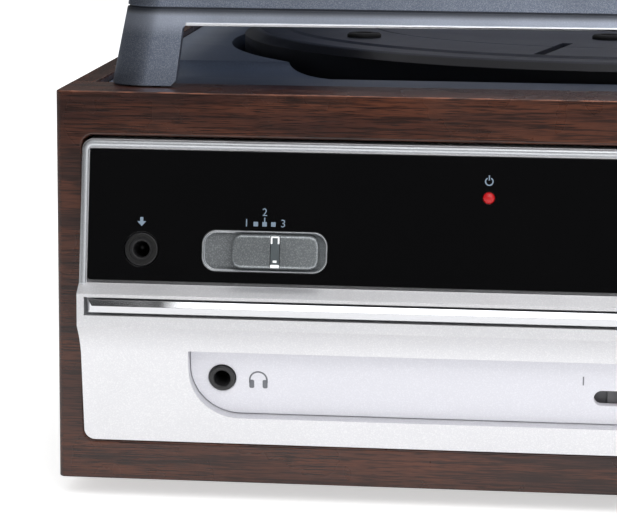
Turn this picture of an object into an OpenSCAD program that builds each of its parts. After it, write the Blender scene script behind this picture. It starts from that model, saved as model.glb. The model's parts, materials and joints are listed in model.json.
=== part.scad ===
// A stereo music centre: a record player under a lid, a radio and two side speakers in a
// wooden cabinet. Every size is in millimetres. Inside in_cabinet() X runs right from the
// cabinet's left side, Y runs back from the front of its wood and Z runs up from its lower edge.

/* [Cabinet] */
// Width of the cabinet
body_w = 350; // [330:1:420]
// Depth of the cabinet
body_d = 300; // [294:1:340]
// Height of the cabinet without its feet
body_h = 88; // [87:1:110]
// Thickness of the side and back boards
board_t = 12; // [10:0.5:13]
// Thickness of the front frame
frame_t = 19; // [18.8:0.2:20]
// Thickness of the bottom board
floor_t = 9; // [7:0.5:10]
// Width of the frame beside the front panel
stile_w = 5.8; // [5:0.1:7]
// Height of the frame over the front panel
rail_h = 10.4; // [8:0.1:12]
// Height of the frame under the front panel
sill_h = 8.9; // [8:0.1:10]
// Corner radius of the frame's opening
opening_r = 2.6; // [2:0.1:5]
// Rounding of the cabinet's upright edges
edge_r = 1.4; // [0.5:0.1:3]
// Width of board left showing beside the deck
lip_w = 5.6; // [4:0.1:7]
// Height of the feet
foot_h = 4.5; // [3:0.5:8]
// Radius of a foot
foot_r = 10; // [8:0.5:12]
// How far a foot's centre stands in from the cabinet's sides
foot_inset = 35; // [30:1:60]

/* [Front panel] */
// Gap between the front panel and the wood
panel_gap = 0.2; // [0.1:0.05:0.4]
// How far the panel's nose stands out of the wood
nose_out = 8.6; // [8:0.1:9]
// How far the top of the panel's lower face stands out of the wood
low_top_out = 3.8; // [3.2:0.1:4.2]
// How far the foot of the panel's lower face stands out of the wood
low_out = 0.2; // [0.1:0.1:0.6]
// Height of the window's lower edge above the opening's lower edge
window_up = 37.4; // [36:0.1:39]
// How far the window's lower edge stands out of the wood
window_out = 5.4; // [4.8:0.1:5.8]
// How far the window's upper edge stands out of the wood
window_top_out = 0.4; // [0.1:0.1:0.6]
// Thickness of the display window
window_t = 2.2; // [1.5:0.1:2.4]
// Radius of the bright bead around the window
bead_r = 0.8; // [0.7:0.1:1]
// Height of the chrome strip
strip_h = 2.8; // [2:0.1:3.2]
// Height of the inset control plate
plate_h = 15.7; // [14:0.1:16]
// Distance from the cabinet's side to the control plate
plate_side = 30.2; // [26:0.1:40]
// Radius of the control plate's lower corners
plate_r = 11; // [6:0.5:12]
// Thickness of the control plate
plate_t = 1.8; // [1.4:0.1:2]
// Depth of the control plate's face below the panel's lower face
plate_deep = 2.8; // [2.4:0.1:4]

/* [Controls] */
// Radius of the hole in a jack for a 3.5 mm plug
jack_bore_r = 1.8; // [1.75:0.05:1.9]
// Length of the function switch's recess
recess_l = 27.9; // [26:0.1:32]
// Height of the function switch's recess
recess_h = 9.2; // [8.5:0.1:10]
// Length of the function knob
knob_l = 19.3; // [16:0.1:20]
// Height of the function knob
knob_h = 7.6; // [6:0.1:8]
// Distance between two positions of a slide knob
detent = 2; // [1.5:0.1:2.5]
// Radius of the volume knob
volume_r = 11; // [8:0.5:12]
// Radius of the tuning knob
tuning_r = 8.5; // [7:0.5:8.5]
// How far the volume and tuning knobs stand out of their faces
knob_out = 13; // [10:0.5:16]
// Distance from the cabinet's left side to the tuning scale's slot
scale_x0 = 120; // [112:0.1:140]
// Height of the tuning scale's slot
scale_h = 2.8; // [2:0.1:3.4]

/* [Deck] */
// Depth of the deck below the top of the wood
deck_drop = 1.6; // [1:0.1:2.4]
// Thickness of the deck plate
deck_t = 2.8; // [2.4:0.1:3.2]
// Depth of the platter's well
well_deep = 12; // [11.5:0.1:13]
// Gap around the platter in its well
well_gap = 3.5; // [2.5:0.1:3.6]
// Distance from the cabinet's left side to the platter's centre
platter_x = 124.8; // [124:0.1:135]
// Distance from the front of the wood to the platter's centre
platter_y = 153; // [152:0.5:160]
// Radius of the platter
platter_r = 101; // [96:0.5:102]
// Height of the platter's top above the deck
platter_up = 5.1; // [4.5:0.1:6]
// Radius of the ring that the belt drives
ring_r = 66.5; // [60:0.5:70]
// Radius of the record spindle
spindle_r = 3.55; // [3.5:0.01:3.58]
// Radius of the motor pulley where the belt runs
pulley_r = 4; // [3:0.5:6]
// Radius of the motor's can
motor_r = 17.5; // [14:0.5:19]

/* [Tonearm] */
// Distance from the cabinet's right side to the tonearm's pivot
arm_side = 48; // [46:0.5:52]
// Distance from the cabinet's back to the tonearm's pivot
arm_back = 68; // [62:1:76]
// Height of the tonearm's tube above the deck
arm_up = 17.6; // [17:0.1:19]
// Distance from the front of the wood to the resting stylus
stylus_front = 28; // [26:1:34]
// Radius of the tonearm's tube
tube_r = 4; // [3:0.1:4.4]
// Direction of the resting tonearm
arm_rest_a = 268.5; // [267:0.5:270]

/* [Lid] */
// Height of the lid above the cabinet
lid_h = 45; // [42:1:60]
// Distance from the cabinet's sides to the lid
lid_in = 9.8; // [9:0.1:11]
// Lean of the lid's walls
lid_lean = 10; // [6:0.5:12]
// Thickness of the lid's walls
lid_t = 3; // [2.4:0.1:3.6]
// Width of a leg of the lid
leg_w = 15.6; // [14:0.2:24]
// Height of the cut-outs in the lid's walls
cutout_h = 13.7; // [10:0.1:15]
// Radius of the lid's hinge pins
hinge_r = 1.55; // [1.3:0.05:1.8]

/* [Hidden] */

$fn = 72;
// How far joined forms reach into each other
eps = 0.01;
// Room around a shaft that turns and around a piece that slides
run_gap = 0.05;
slide_gap = 0.4;
seat_gap = 0.1;

// Colours
wood = "#4a2d25";
silver = "#e0e0e4";
gloss_black = "#141414";
matt_black = "#222224";
deck_grey = "#3a424e";
lid_grey = "#555b66";
bright = "#d0d2d6";
board_green = "#2f6b45";

// The opening and the front panel
open_z0 = sill_h;
open_z1 = body_h - rail_h;
panel_z0 = open_z0 + panel_gap;
panel_z1 = open_z1 - panel_gap;
panel_x0 = stile_w + panel_gap;
panel_x1 = body_w - panel_x0;
panel_r = opening_r - panel_gap;
panel_back = 8;
panel_wall = 2.2;
nose_z1 = open_z0 + 35.2;
nose_z0 = open_z0 + 27.9;
cove_z = open_z0 + 20.7;
low_tilt = atan((low_top_out - low_out) / (cove_z - panel_z0));
low_back = plate_deep + plate_t + 1.6;
window_z0 = open_z0 + window_up;
window_z1 = panel_z1 - 2 * bead_r - 0.4;
window_rise = window_z1 - window_z0;
tilt = atan((window_out - window_top_out) / window_rise);
window_h = window_rise / cos(tilt);
window_side = panel_x0 + 2 * bead_r + 0.1;
strip_z = (nose_z0 + nose_z1) / 2 + 0.95;
groove_h = strip_h + 1.1;
groove_deep = 2.4;

// The control plate and what stands in its row, measured along the leaning lower face
plate_z0 = 6.3;
plate_w = body_w - 2 * plate_side;
plate_front = plate_deep;
plate_back = plate_front + plate_t;
row_z = plate_z0 + 6.7;
headphone_x = plate_side + 7.1;
headphone_z = plate_z0 + 8.5;
scale_z = row_z;
tuning_x = body_w - 50;
tuning_z = row_z + 0.3;
capacitor_w = 22;
knob_gap = 0.3;
tuning_shaft = 23;
band_w = 11;
band_h = 3.8;
band_x = tuning_x - capacitor_w / 2 - 10.1;
scale_x1 = band_x - 17;
scale_l = scale_x1 - scale_x0;
channel_h = 6.4;
channel_x0 = scale_x0 - 4;
channel_x1 = scale_x1 + 4;
pointer_w = 1.2;
pointer_start = scale_x0 + 6;

// The window's row, measured along the leaning window
aux_x = 19.7;
aux_z = 7.4;
switch_x = 47.1;
switch_z = 7.5;
led_x = 96;
led_z = window_h - 9.1;
power_x = body_w - 110;
power_z = 7.4;
volume_x = body_w - 54;
volume_z = window_h / 2;
board_y = 17;
knob_x = switch_x + 2.5;

// How much smaller the face of a round knob is than its rim
knob_taper = 2.2;

// Where the whole object lies front to back
knob_reach = window_out - (volume_z - volume_r + knob_taper) * sin(tilt) + knob_out * cos(tilt);
socket_reach = 10;
mid_y = (body_d + socket_reach - knob_reach) / 2;

// The deck
deck_z1 = body_h - deck_drop;
deck_z0 = deck_z1 - deck_t;
well_r = platter_r + well_gap;
well_floor_t = 2.5;
well_z1 = deck_z1 - well_deep;
well_z0 = well_z1 - well_floor_t;
trough_y0 = platter_y - well_r + 0.1;
trough_y1 = trough_y0 + 40.1;
trough_deep = 2.9;
trough_x0 = board_t + 1.5;
trough_x1 = platter_x + 137;
plateau_z = deck_z1 + platter_up;
skirt_z = deck_z1 + 2.6;
ledge_z = plateau_z - 0.6;
platter_z0 = well_z1 + 4.1;
hub_z0 = well_z1 + 2.5;
spindle_top = plateau_z + 11.5;
motor_a = 135;
motor_far = ring_r + pulley_r + 13.5;
motor_x = platter_x + motor_far * cos(motor_a);
motor_y = platter_y + motor_far * sin(motor_a);
motor_h = 28;
belt_z0 = plateau_z - 10.3;
belt_h = 4;
belt_t = 0.8;
belt_gap = 0.2;
slot_a = 257.4;

// The tonearm and its neighbours
arm_x = body_w - arm_side;
arm_y = body_d - arm_back;
arm_l = arm_y - stylus_front;
arm_z = deck_z1 + arm_up;
base_r = 15;
base_h = 7.6;
shaft_r = 4;
yoke_z = deck_z1 + base_h + 0.3;
yoke_t = 3;
yoke_half = 8.6;
cheek_t = 2.6;
pivot_r = 1.5;
stub_r = 3.5;
weight_r = 11;
weight_l = 15;
shell_l = 36;
shell_start = arm_l - shell_l + 6;
shell_w = 19;
shell_h = 6;
rest_far = shell_start - 49;
clip_u = 8.5;
clip_z = arm_z + 1;
lifter_r = 40;
lifter_a = 245;
lifter_top = arm_z - tube_r - 3.6;
lifter_t = 3;
cue_x = body_w - 30;
cue_y = arm_y - 36;
cue_z = deck_z1 + 7;
control_x = body_w - 27;
stem_w = 3;
speed_y = 70;
speed_travel = 16;
stop_y = 125;
stop_travel = 6;

// The lid
lid_z0 = body_h + 0.4;
lid_z1 = body_h + lid_h;
lid_front = lid_in - 0.7;
lid_rear = body_d - lid_front;
lid_r = 9;
lid_round = 6;
leg_top = body_h + cutout_h;
cutout_rise = 1.3;
lid_line_z = leg_top + 3.9;
window_in = 46;
hinge_y = body_d - 4;
hinge_z = body_h + 5;
hinge_x = lid_in + 7.2;
lug_w = 8;
ear_t = 2;
knuckle_r = 3.5;

// Speakers, posts and the back
speaker_y = 92;
speaker_z = floor_t + 31.5;
speaker_r = 28.5;
grille_r = 31;
grille_t = 2;
post_w = 14;
rear_w = 120;
rear_h = 40;
rear_x1 = body_w - 30;
rear_x0 = rear_x1 - rear_w;
rear_z0 = floor_t + 6;
rear_z1 = rear_z0 + rear_h;
rear_t = 2;
port_z = rear_z0 + rear_h / 2;
socket_x = rear_x0 + 15;
socket_pitch = 18;
inlet_x = rear_x1 - 26;
screw_r = 1.6;
head_r = 3.4;

// Puts what is measured from the cabinet's corner into the object's frame
module in_cabinet() {
  translate([-body_w / 2, -mid_y, foot_h]) children();
}

// Puts what is measured on the leaning window into the cabinet's frame
module on_window(x = 0, z = 0) {
  translate([x, -window_out, window_z0]) rotate([-tilt, 0, 0]) translate([0, 0, z]) children();
}

// Places children on the panel's leaning lower face, with Y running inwards from it
module on_low(x = 0, z = 0) {
  translate([x, -low_out, panel_z0]) rotate([low_tilt, 0, 0]) translate([0, 0, z]) children();
}

// A place behind the lower face, as the panel's side outline has it
function low_place(y, z) = [-low_out + y * cos(low_tilt) - z * sin(low_tilt),
  panel_z0 + y * sin(low_tilt) + z * cos(low_tilt)];

// Extrudes an outline drawn in X and Z from y0 back to y1
module along_y(y0, y1) {
  translate([0, y1, 0]) rotate([90, 0, 0]) linear_extrude(y1 - y0) children();
}

// Extrudes an outline drawn in Y and Z from x0 right to x1
module along_x(x0, x1) {
  translate([x0, 0, 0]) rotate([90, 0, 90]) linear_extrude(x1 - x0) children();
}

// A block between two opposite corners
module block(from, to) {
  translate(from) cube(to - from);
}

// A rod of radius r along Y from y0 back to y1
module rod_y(r, y0, y1) {
  translate([0, y1, 0]) rotate([90, 0, 0]) cylinder(r = r, h = y1 - y0);
}

// A rod of radius r along X from x0 right to x1
module rod_x(r, x0, x1) {
  translate([x0, 0, 0]) rotate([0, 90, 0]) cylinder(r = r, h = x1 - x0);
}

// A rectangle with rounded corners, its lower left corner at the origin
module rounded(w, h, r) {
  translate([r, 0]) square([w - 2 * r, h]);
  translate([0, r]) square([w, h - 2 * r]);
  for (x = [r, w - r]) for (y = [r, h - r]) translate([x, y]) circle(r = r);
}

// A rectangle with rounded corners about the origin
module rounded_mid(w, h, r) {
  translate([-w / 2, -h / 2]) rounded(w, h, r);
}

module mirrored() {
  children();
  translate([body_w, 0, 0]) mirror([1, 0, 0]) children();
}

module each_foot() {
  for (x = [foot_inset, body_w - foot_inset]) for (y = [foot_inset, body_d - foot_inset])
    translate([x, y, 0]) children();
}

module each_corner() {
  for (x = [board_t + post_w / 2, body_w - board_t - post_w / 2])
    for (y = [frame_t + post_w / 2, body_d - board_t - post_w / 2])
      translate([x, y, 0]) children();
}

module each_rear_screw() {
  for (x = [rear_x0 + 4, rear_x1 - 4]) for (z = [rear_z0 + 4, rear_z1 - 4])
    translate([x, 0, z]) children();
}

module each_hinge_screw() {
  for (z = [body_h - 14, body_h - 6.2]) mirrored() translate([hinge_x, 0, z]) children();
}

// The room that the deck plate takes out of the boards' inner top edges
module deck_rebate() {
  block([lip_w, frame_t - eps, deck_z0], [body_w - lip_w, body_d - lip_w, body_h + 1]);
}

// The wooden front frame, one board with a wide opening
module front_frame() {
  color(wood) in_cabinet() difference() {
    union() {
      block([0, edge_r, 0], [body_w, frame_t, body_h]);
      block([edge_r, 0, 0], [body_w - edge_r, edge_r + eps, body_h]);
      for (x = [edge_r, body_w - edge_r]) translate([x, edge_r, 0]) cylinder(r = edge_r, h = body_h);
    }
    along_y(-1, frame_t + 1) translate([stile_w, open_z0])
      rounded(body_w - 2 * stile_w, open_z1 - open_z0, opening_r);
  }
}

// A side board with the speaker's hole and the grille's seat
module left_side_board() {
  color(wood) in_cabinet() difference() {
    block([0, frame_t, 0], [board_t, body_d, body_h]);
    deck_rebate();
    translate([0, speaker_y, speaker_z]) rod_x(speaker_r - 4, -1, board_t + 1);
    translate([0, speaker_y, speaker_z]) rod_x(grille_r + seat_gap, -1, grille_t);
  }
}

module right_side_board() {
  color(wood) in_cabinet() difference() {
    block([body_w - board_t, frame_t, 0], [body_w, body_d, body_h]);
    deck_rebate();
    translate([body_w - board_t, speaker_y, speaker_z]) rod_x(speaker_r - 4, -1, board_t + 1);
    translate([body_w, speaker_y, speaker_z]) rod_x(grille_r + seat_gap, -grille_t, 1);
  }
}

// The bottom board with the feet's screw holes and rows of air slots
module bottom_board() {
  slots = 7;
  pitch = 9;
  color(wood) in_cabinet() difference() {
    block([board_t, frame_t, 0], [body_w - board_t, body_d - board_t, floor_t]);
    each_foot() translate([0, 0, -1]) cylinder(r = screw_r + run_gap, h = floor_t - 1);
    for (i = [0:slots - 1]) translate([body_w - 190 + i * pitch, 200, -1])
      linear_extrude(floor_t + 2) rounded(4, 40, 1.99);
  }
}

// The back board with the opening behind the rear plate and air slots
module back_board() {
  slots = 8;
  pitch = 8;
  color(wood) in_cabinet() difference() {
    block([board_t, body_d - board_t, 0], [body_w - board_t, body_d, body_h]);
    deck_rebate();
    block([rear_x0 + 8, body_d - board_t - 1, rear_z0 + 8], [rear_x1 - 8, body_d + 1, rear_z1 - 8]);
    for (i = [0:slots - 1]) along_y(body_d - board_t - 1, body_d + 1)
      translate([60 + i * pitch, 22]) rounded(3.5, 34, 1.74);
    each_rear_screw() rod_y(screw_r + run_gap, body_d - 8, body_d + 1);
    each_hinge_screw() rod_y(screw_r + run_gap, body_d - 8, body_d + 1);
  }
}

// Glued posts in the corners and a batten behind the frame, which carry the deck
module glue_blocks() {
  color("#b08a5a") in_cabinet() {
    difference() {
      each_corner() translate([-post_w / 2, -post_w / 2, floor_t])
        cube([post_w, post_w, deck_z0 - floor_t]);
      each_corner() translate([0, 0, deck_z0 - 10]) cylinder(r = screw_r + run_gap, h = 11);
    }
    block([board_t + post_w, frame_t, deck_z0 - 6.2], [body_w - board_t - post_w, frame_t + 8, deck_z0]);
  }
}

// Four round feet, each with a pocket for its screw
module feet() {
  color(matt_black) in_cabinet() each_foot() difference() {
    rotate_extrude() polygon([[0, -foot_h], [foot_r - 1.5, -foot_h], [foot_r - 0.5, -foot_h + 1],
      [foot_r, 0], [0, 0]]);
    translate([0, 0, -foot_h - 1]) cylinder(r = 4, h = foot_h - 1);
    translate([0, 0, -foot_h]) cylinder(r = screw_r + run_gap, h = foot_h + 1);
  }
}

// A screw pointing up, its head's underside at the origin
module screw(shank) {
  translate([0, 0, -1.4]) difference() {
    cylinder(r = head_r, h = 1.4);
    for (a = [0, 90]) rotate([0, 0, a]) translate([-2, -0.4, -0.3]) cube([4, 0.8, 1]);
  }
  cylinder(r = screw_r, h = shank);
}

// The screws of the feet, the deck, the rear plate and the hinges
module screws() {
  color(bright) in_cabinet() {
    each_foot() translate([0, 0, -2]) screw(8);
    each_corner() translate([0, 0, deck_z1 - 1.5]) rotate([180, 0, 0]) screw(9);
    each_rear_screw() translate([0, body_d + rear_t, 0]) rotate([90, 0, 0]) screw(9);
    each_hinge_screw() translate([0, body_d + 1.2, 0]) rotate([90, 0, 0]) screw(8);
  }
}

// The trough in front of the platter: a flat floor and a hollow slope up to the deck
module trough_section(top) {
  slope_run = 10.4;
  steps = 5;
  slope = [for (i = [0:steps]) let (a = 90 * i / steps)
    [trough_y1 - slope_run + slope_run * sin(a), deck_z1 - trough_deep * cos(a)]];
  polygon(concat([[trough_y0, top], [trough_y0, deck_z1 - trough_deep]], slope, [[trough_y1, top]]));
}

// The slot of a slide knob whose stem rests at y and moves back by its travel
module slider_slot(y, travel) {
  room = 0.9;
  block([control_x - stem_w / 2 - slide_gap, y - stem_w / 2 - room, deck_z0 - 1],
    [control_x + stem_w / 2 + slide_gap, y + travel + stem_w / 2 + room, deck_z1 + 1]);
}

// The deck plate with the platter's well, the trough and the seats of the controls
module deck_plate() {
  color(deck_grey) in_cabinet() difference() {
    union() {
      block([lip_w + panel_gap, frame_t + panel_gap, deck_z0],
        [body_w - lip_w - panel_gap, body_d - lip_w - panel_gap, deck_z1]);
      block([board_t + 0.3, trough_y0 - 2.4, deck_z1 - trough_deep - 2.5],
        [trough_x1 + 2.4, trough_y1 + 2, deck_z0 + eps]);
      translate([platter_x, platter_y, well_z0]) cylinder(r = well_r + 2.4, h = deck_z1 - well_z0);
      translate([arm_x, arm_y, 0]) rotate([0, 0, lifter_a]) translate([lifter_r, 0, deck_z0])
        cylinder(r = 4.5, h = deck_t + 4);
      for (x = [cue_x - 5.2, cue_x + 2.8]) difference() {
        block([x, cue_y - 4, deck_z1 - eps], [x + 2.4, cue_y + 4, cue_z + 3]);
        translate([0, cue_y, cue_z]) rod_x(pivot_r, x - 1, x + 4);
      }
    }
    along_x(trough_x0, trough_x1) trough_section(deck_z1 + 1);
    translate([platter_x, platter_y, well_z1]) cylinder(r = well_r, h = well_deep + 1);
    translate([platter_x, platter_y, well_z0 - 1]) cylinder(r = 7.3, h = 5);
    translate([motor_x, motor_y, well_z0 - 1]) cylinder(r = 5.4, h = 5);
    translate([arm_x, arm_y, deck_z0 - 1]) cylinder(r = 8.2, h = deck_t + 2);
    translate([arm_x, arm_y, 0]) rotate([0, 0, lifter_a]) translate([lifter_r, 0, deck_z0 - 1])
      cylinder(r = 2 + run_gap, h = 12);
    slider_slot(speed_y, speed_travel);
    slider_slot(stop_y, stop_travel);
    each_corner() translate([0, 0, deck_z0 - 1]) cylinder(r = screw_r + run_gap, h = deck_t + 2);
    each_corner() translate([0, 0, deck_z1 - 1.5]) cylinder(r = head_r + 0.2, h = 2);
    rest_foot(run_gap, 1);
  }
}

// The platter: a stepped round tray with a deep skirt, a hub and the belt's ring
module platter() {
  color(matt_black) in_cabinet() translate([platter_x, platter_y, 0]) difference() {
    rotate_extrude($fn = 180) polygon([
      [platter_r - 3, platter_z0], [platter_r, platter_z0], [platter_r, skirt_z],
      [platter_r - 4, ledge_z], [platter_r - 11, ledge_z], [platter_r - 11.7, plateau_z],
      [spindle_r + run_gap, plateau_z], [spindle_r + run_gap, hub_z0], [12, hub_z0],
      [12, plateau_z - 2.5], [ring_r - 2.5, plateau_z - 2.5], [ring_r - 2.5, belt_z0 - 2],
      [ring_r, belt_z0 - 2], [ring_r, plateau_z - 2.5], [platter_r - 14, plateau_z - 2.5],
      [platter_r - 13, plateau_z - 3.1], [platter_r - 5, plateau_z - 3.1],
      [platter_r - 3, plateau_z - 4.5]]);
    translate([0, 0, plateau_z - 0.3]) difference() {
      cylinder(r = ring_r + 0.3, h = 1);
      translate([0, 0, -1]) cylinder(r = ring_r - 0.3, h = 3);
    }
    rotate([0, 0, slot_a]) block([ring_r - 10.5, -1.4, plateau_z - 1.5], [platter_r - 12.2, 1.4, plateau_z + 1]);
  }
}

// Rubber pads on the platter: an outer ring of three and an inner ring of three
module platter_pads() {
  pad_r = 4.4;
  color("#101010") in_cabinet() translate([platter_x, platter_y, plateau_z]) {
    for (a = [216, 336, 96]) rotate([0, 0, a]) translate([80, 0, 0]) cylinder(r = pad_r, h = 1.2);
    for (a = [268, 28, 148]) rotate([0, 0, a]) translate([41, 0, 0]) cylinder(r = pad_r, h = 1.2);
  }
}

// The fixed spindle with its rounded tip
module spindle() {
  color(bright) in_cabinet() translate([platter_x, platter_y, 0]) rotate_extrude()
    polygon(concat([[0, well_z0 - 12], [spindle_r, well_z0 - 12]],
      [for (i = [0:6]) let (a = 15 * i) [spindle_r * cos(a), spindle_top - 4 + 4 * sin(a)]]));
}

// The bearing housing under the well, which holds the spindle and carries the hub
module spindle_bearing() {
  color("#b8a56a") in_cabinet() translate([platter_x, platter_y, 0]) rotate_extrude()
    polygon([[spindle_r + run_gap, well_z0 - 14], [7, well_z0 - 14], [7, well_z0 - 3], [14, well_z0 - 3],
      [14, well_z0], [7, well_z0], [7, hub_z0 - 0.3], [spindle_r + run_gap, hub_z0 - 0.3]]);
}

// The flat belt around the platter's ring and the motor's pulley
module belt_loop(grow) {
  hull() {
    circle(r = ring_r + belt_gap + grow, $fn = 96);
    rotate([0, 0, motor_a]) translate([motor_far, 0]) circle(r = pulley_r + belt_gap + grow, $fn = 32);
  }
}

module drive_belt() {
  color("#1a1a1a") in_cabinet() translate([platter_x, platter_y, belt_z0]) linear_extrude(belt_h) difference() {
    belt_loop(belt_t);
    belt_loop(0);
  }
}

// The motor's can under the well, with a bore for its shaft
module motor() {
  color("#9a9ca0") in_cabinet() translate([motor_x, motor_y, 0]) difference() {
    union() {
      translate([0, 0, well_z0 - motor_h]) cylinder(r = motor_r, h = motor_h);
      translate([0, 0, well_z0 - eps]) cylinder(r = 5, h = 1.2);
      translate([0, 0, well_z0 - motor_h - 2]) cylinder(r = 6, h = 2 + eps);
    }
    translate([0, 0, well_z0 - motor_h + 4]) cylinder(r = 1 + run_gap, h = motor_h);
  }
}

// The pulley with its two rims and its shaft
module motor_pulley() {
  color("#c9a84f") in_cabinet() translate([motor_x, motor_y, 0]) rotate_extrude()
    polygon([[0, well_z0 - motor_h + 6], [1, well_z0 - motor_h + 6], [1, belt_z0 - 2], [pulley_r + 1.4, belt_z0 - 2],
      [pulley_r + 1.4, belt_z0 - 0.8], [pulley_r, belt_z0 - 0.3], [pulley_r, belt_z0 + belt_h + 0.3],
      [pulley_r + 1.4, belt_z0 + belt_h + 0.8], [pulley_r + 1.4, belt_z0 + belt_h + 1.6], [0, belt_z0 + belt_h + 1.6]]);
}

// A slide knob standing in a slot of the deck, with its foot under the deck
module deck_slider(y, length) {
  translate([control_x, y, 0]) {
    block([-stem_w / 2, -stem_w / 2, deck_z0 - 1.2], [stem_w / 2, stem_w / 2, deck_z1 + 1]);
    block([-4, -length / 2, deck_z1 + 0.3], [4, length / 2, deck_z1 + 2.2]);
    block([-1.6, -length / 2 + 1, deck_z1 + 2.1], [1.6, length / 2 - 1, deck_z1 + 6]);
    block([-4, -4, deck_z0 - 2.6], [4, 4, deck_z0 - 0.3]);
  }
}

module speed_selector() {
  color(silver) in_cabinet() deck_slider(speed_y, 11);
}

module autostop_switch() {
  color(silver) in_cabinet() deck_slider(stop_y, 9);
}

// Places what is measured along the resting tonearm
module at_arm(a = arm_rest_a) {
  translate([arm_x, arm_y, 0]) rotate([0, 0, a]) children();
}

// The tonearm's base, a stepped round housing with the swing bearing's bore
module tonearm_base() {
  color(matt_black) in_cabinet() translate([arm_x, arm_y, 0]) rotate_extrude()
    polygon([[shaft_r, deck_z0 - 3], [8, deck_z0 - 3], [8, deck_z1], [base_r, deck_z1],
      [base_r, deck_z1 + 4.6], [base_r - 1.6, deck_z1 + base_h], [shaft_r, deck_z1 + base_h]]);
}

// The turning yoke: a shaft, a disc and two cheeks with the lift pivot's bores
module tonearm_yoke() {
  color(gloss_black) in_cabinet() at_arm() difference() {
    union() {
      translate([0, 0, deck_z0 - 2]) cylinder(r = shaft_r - run_gap, h = yoke_z - deck_z0 + 2 + eps);
      translate([0, 0, yoke_z]) cylinder(r = 12.5, h = yoke_t);
      for (y = [-yoke_half - cheek_t, yoke_half]) {
        block([-5, y, yoke_z + yoke_t - eps], [5, y + cheek_t, arm_z]);
        translate([0, 0, arm_z]) rod_y(5, y, y + cheek_t);
      }
    }
    translate([0, 0, arm_z]) rod_y(pivot_r, -yoke_half - cheek_t - 1, yoke_half + cheek_t + 1);
  }
}

// The tonearm's tube with its pivot block, its cross pin and the stub for the weight
module tonearm_tube() {
  color(silver) in_cabinet() at_arm() translate([0, 0, arm_z]) {
    rod_x(tube_r, 6, shell_start);
    block([-8, -yoke_half + slide_gap, -4.6], [8, yoke_half - slide_gap, 4.6]);
    rod_y(pivot_r - run_gap, -yoke_half - cheek_t, yoke_half + cheek_t);
    rod_x(stub_r, -20, -6);
  }
}

// The headshell: a hollow cap with a finger lift
module headshell() {
  color(matt_black) in_cabinet() at_arm() translate([shell_start, 0, arm_z]) {
    difference() {
      block([0, -shell_w / 2, -shell_h / 2], [shell_l, shell_w / 2, shell_h / 2]);
      block([12, -shell_w / 2 + 1.6, -shell_h / 2 - 1], [shell_l - 1.6, shell_w / 2 - 1.6, shell_h / 2 - 1.6]);
    }
    block([22, shell_w / 2 - eps, 0.6], [28, shell_w / 2 + 9, 2.2]);
  }
}

// The cartridge in the headshell
module cartridge() {
  cartridge_l = 20;
  cartridge_w = 13;
  front = 33;
  color("#2a2a30") in_cabinet() at_arm() translate([shell_start, 0, arm_z + shell_h / 2 - 1.6]) {
    block([front - cartridge_l, -cartridge_w / 2, -shell_h], [front, cartridge_w / 2, 0]);
  }
}

// The stylus: a holder under the cartridge and a cantilever with its tip
module stylus() {
  under = arm_z - shell_h / 2 - 1.6;
  color("#b03a2e") in_cabinet() at_arm() {
    block([arm_l - 10, -4, under - 1.8], [arm_l + 1, 4, under]);
    block([arm_l - 3, -0.8, under - 2.8], [arm_l + 0.8, 0.8, under - 1.7]);
    translate([arm_l, 0, arm_z - 9.4]) cylinder(r1 = 0.25, r2 = 0.8, h = under - 2.7 - arm_z + 9.4);
  }
}

module counterweight() {
  color("#8a8c90") in_cabinet() at_arm() translate([0, 0, arm_z]) difference() {
    rod_x(weight_r, -17 - weight_l, -17);
    rod_x(stub_r + run_gap, -21, -16);
  }
}

// The foot of the arm rest, also cut from the deck plate with a little room
module rest_foot(grow = 0, more = 0) {
  at_arm() translate([rest_far, 0, deck_z0 - more]) cylinder(r = 3 + grow, h = deck_t + 2 * more);
}

// The arm rest: a post with a shelf under the tube and ears for the clip
module tonearm_rest() {
  shelf_z = arm_z - tube_r - 0.3;
  color(matt_black) in_cabinet() {
    rest_foot();
    at_arm() translate([rest_far, 0, 0]) {
      translate([0, 1.5, deck_z1]) cylinder(r1 = 9, r2 = 6, h = 3);
      block([-4, -4.5, deck_z1 + 2.9], [4, 9.6, shelf_z]);
      difference() {
        union() {
          for (x = [-4, 2.4]) block([x, 5.4, shelf_z - eps], [x + 1.6, clip_u + 2.6, clip_z + 2.4]);
        }
        translate([0, clip_u, clip_z]) rod_x(pivot_r, -5, 5);
      }
    }
  }
}

// The arm clip, drawn open: a hook on a pin that turns over the tube
module arm_clip() {
  top = arm_z + tube_r + 0.6 - clip_z;
  color("#c8c8cc") in_cabinet() at_arm() translate([rest_far, clip_u, clip_z]) rotate([-95, 0, 0]) {
    rod_x(pivot_r - run_gap, -4, 4);
    block([-2, -1, 0], [2, 1, top + 1.6]);
    block([-2, -14.7, top], [2, 1, top + 1.6]);
    block([-2, -14.7, -2.5], [2, -13.1, top + 1.6]);
  }
}

// The cue lever: a handle on a cross pin between the deck's two ears
module cue_lever() {
  color(silver) in_cabinet() translate([cue_x, cue_y, cue_z]) {
    rod_x(pivot_r - run_gap, -5.2, 5.2);
    rod_x(2.6, -2.4, 2.4);
    block([-2, -30, -1.2], [2, 0, 1.2]);
    translate([0, -31, 0]) cylinder(r = 4, h = 2.4, center = true);
  }
}

// The arm lifter: a post in the deck's guide and an arc-shaped bar under the tube
module arm_lifter() {
  color(matt_black) in_cabinet() at_arm(0) {
    rotate([0, 0, lifter_a]) translate([lifter_r, 0, deck_z0 - 4])
      cylinder(r = 2, h = lifter_top - lifter_t - deck_z0 + 4 + eps);
    rotate([0, 0, 217]) rotate_extrude(angle = 56)
      translate([lifter_r - 2, lifter_top - lifter_t]) square([4, lifter_t]);
  }
}

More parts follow.
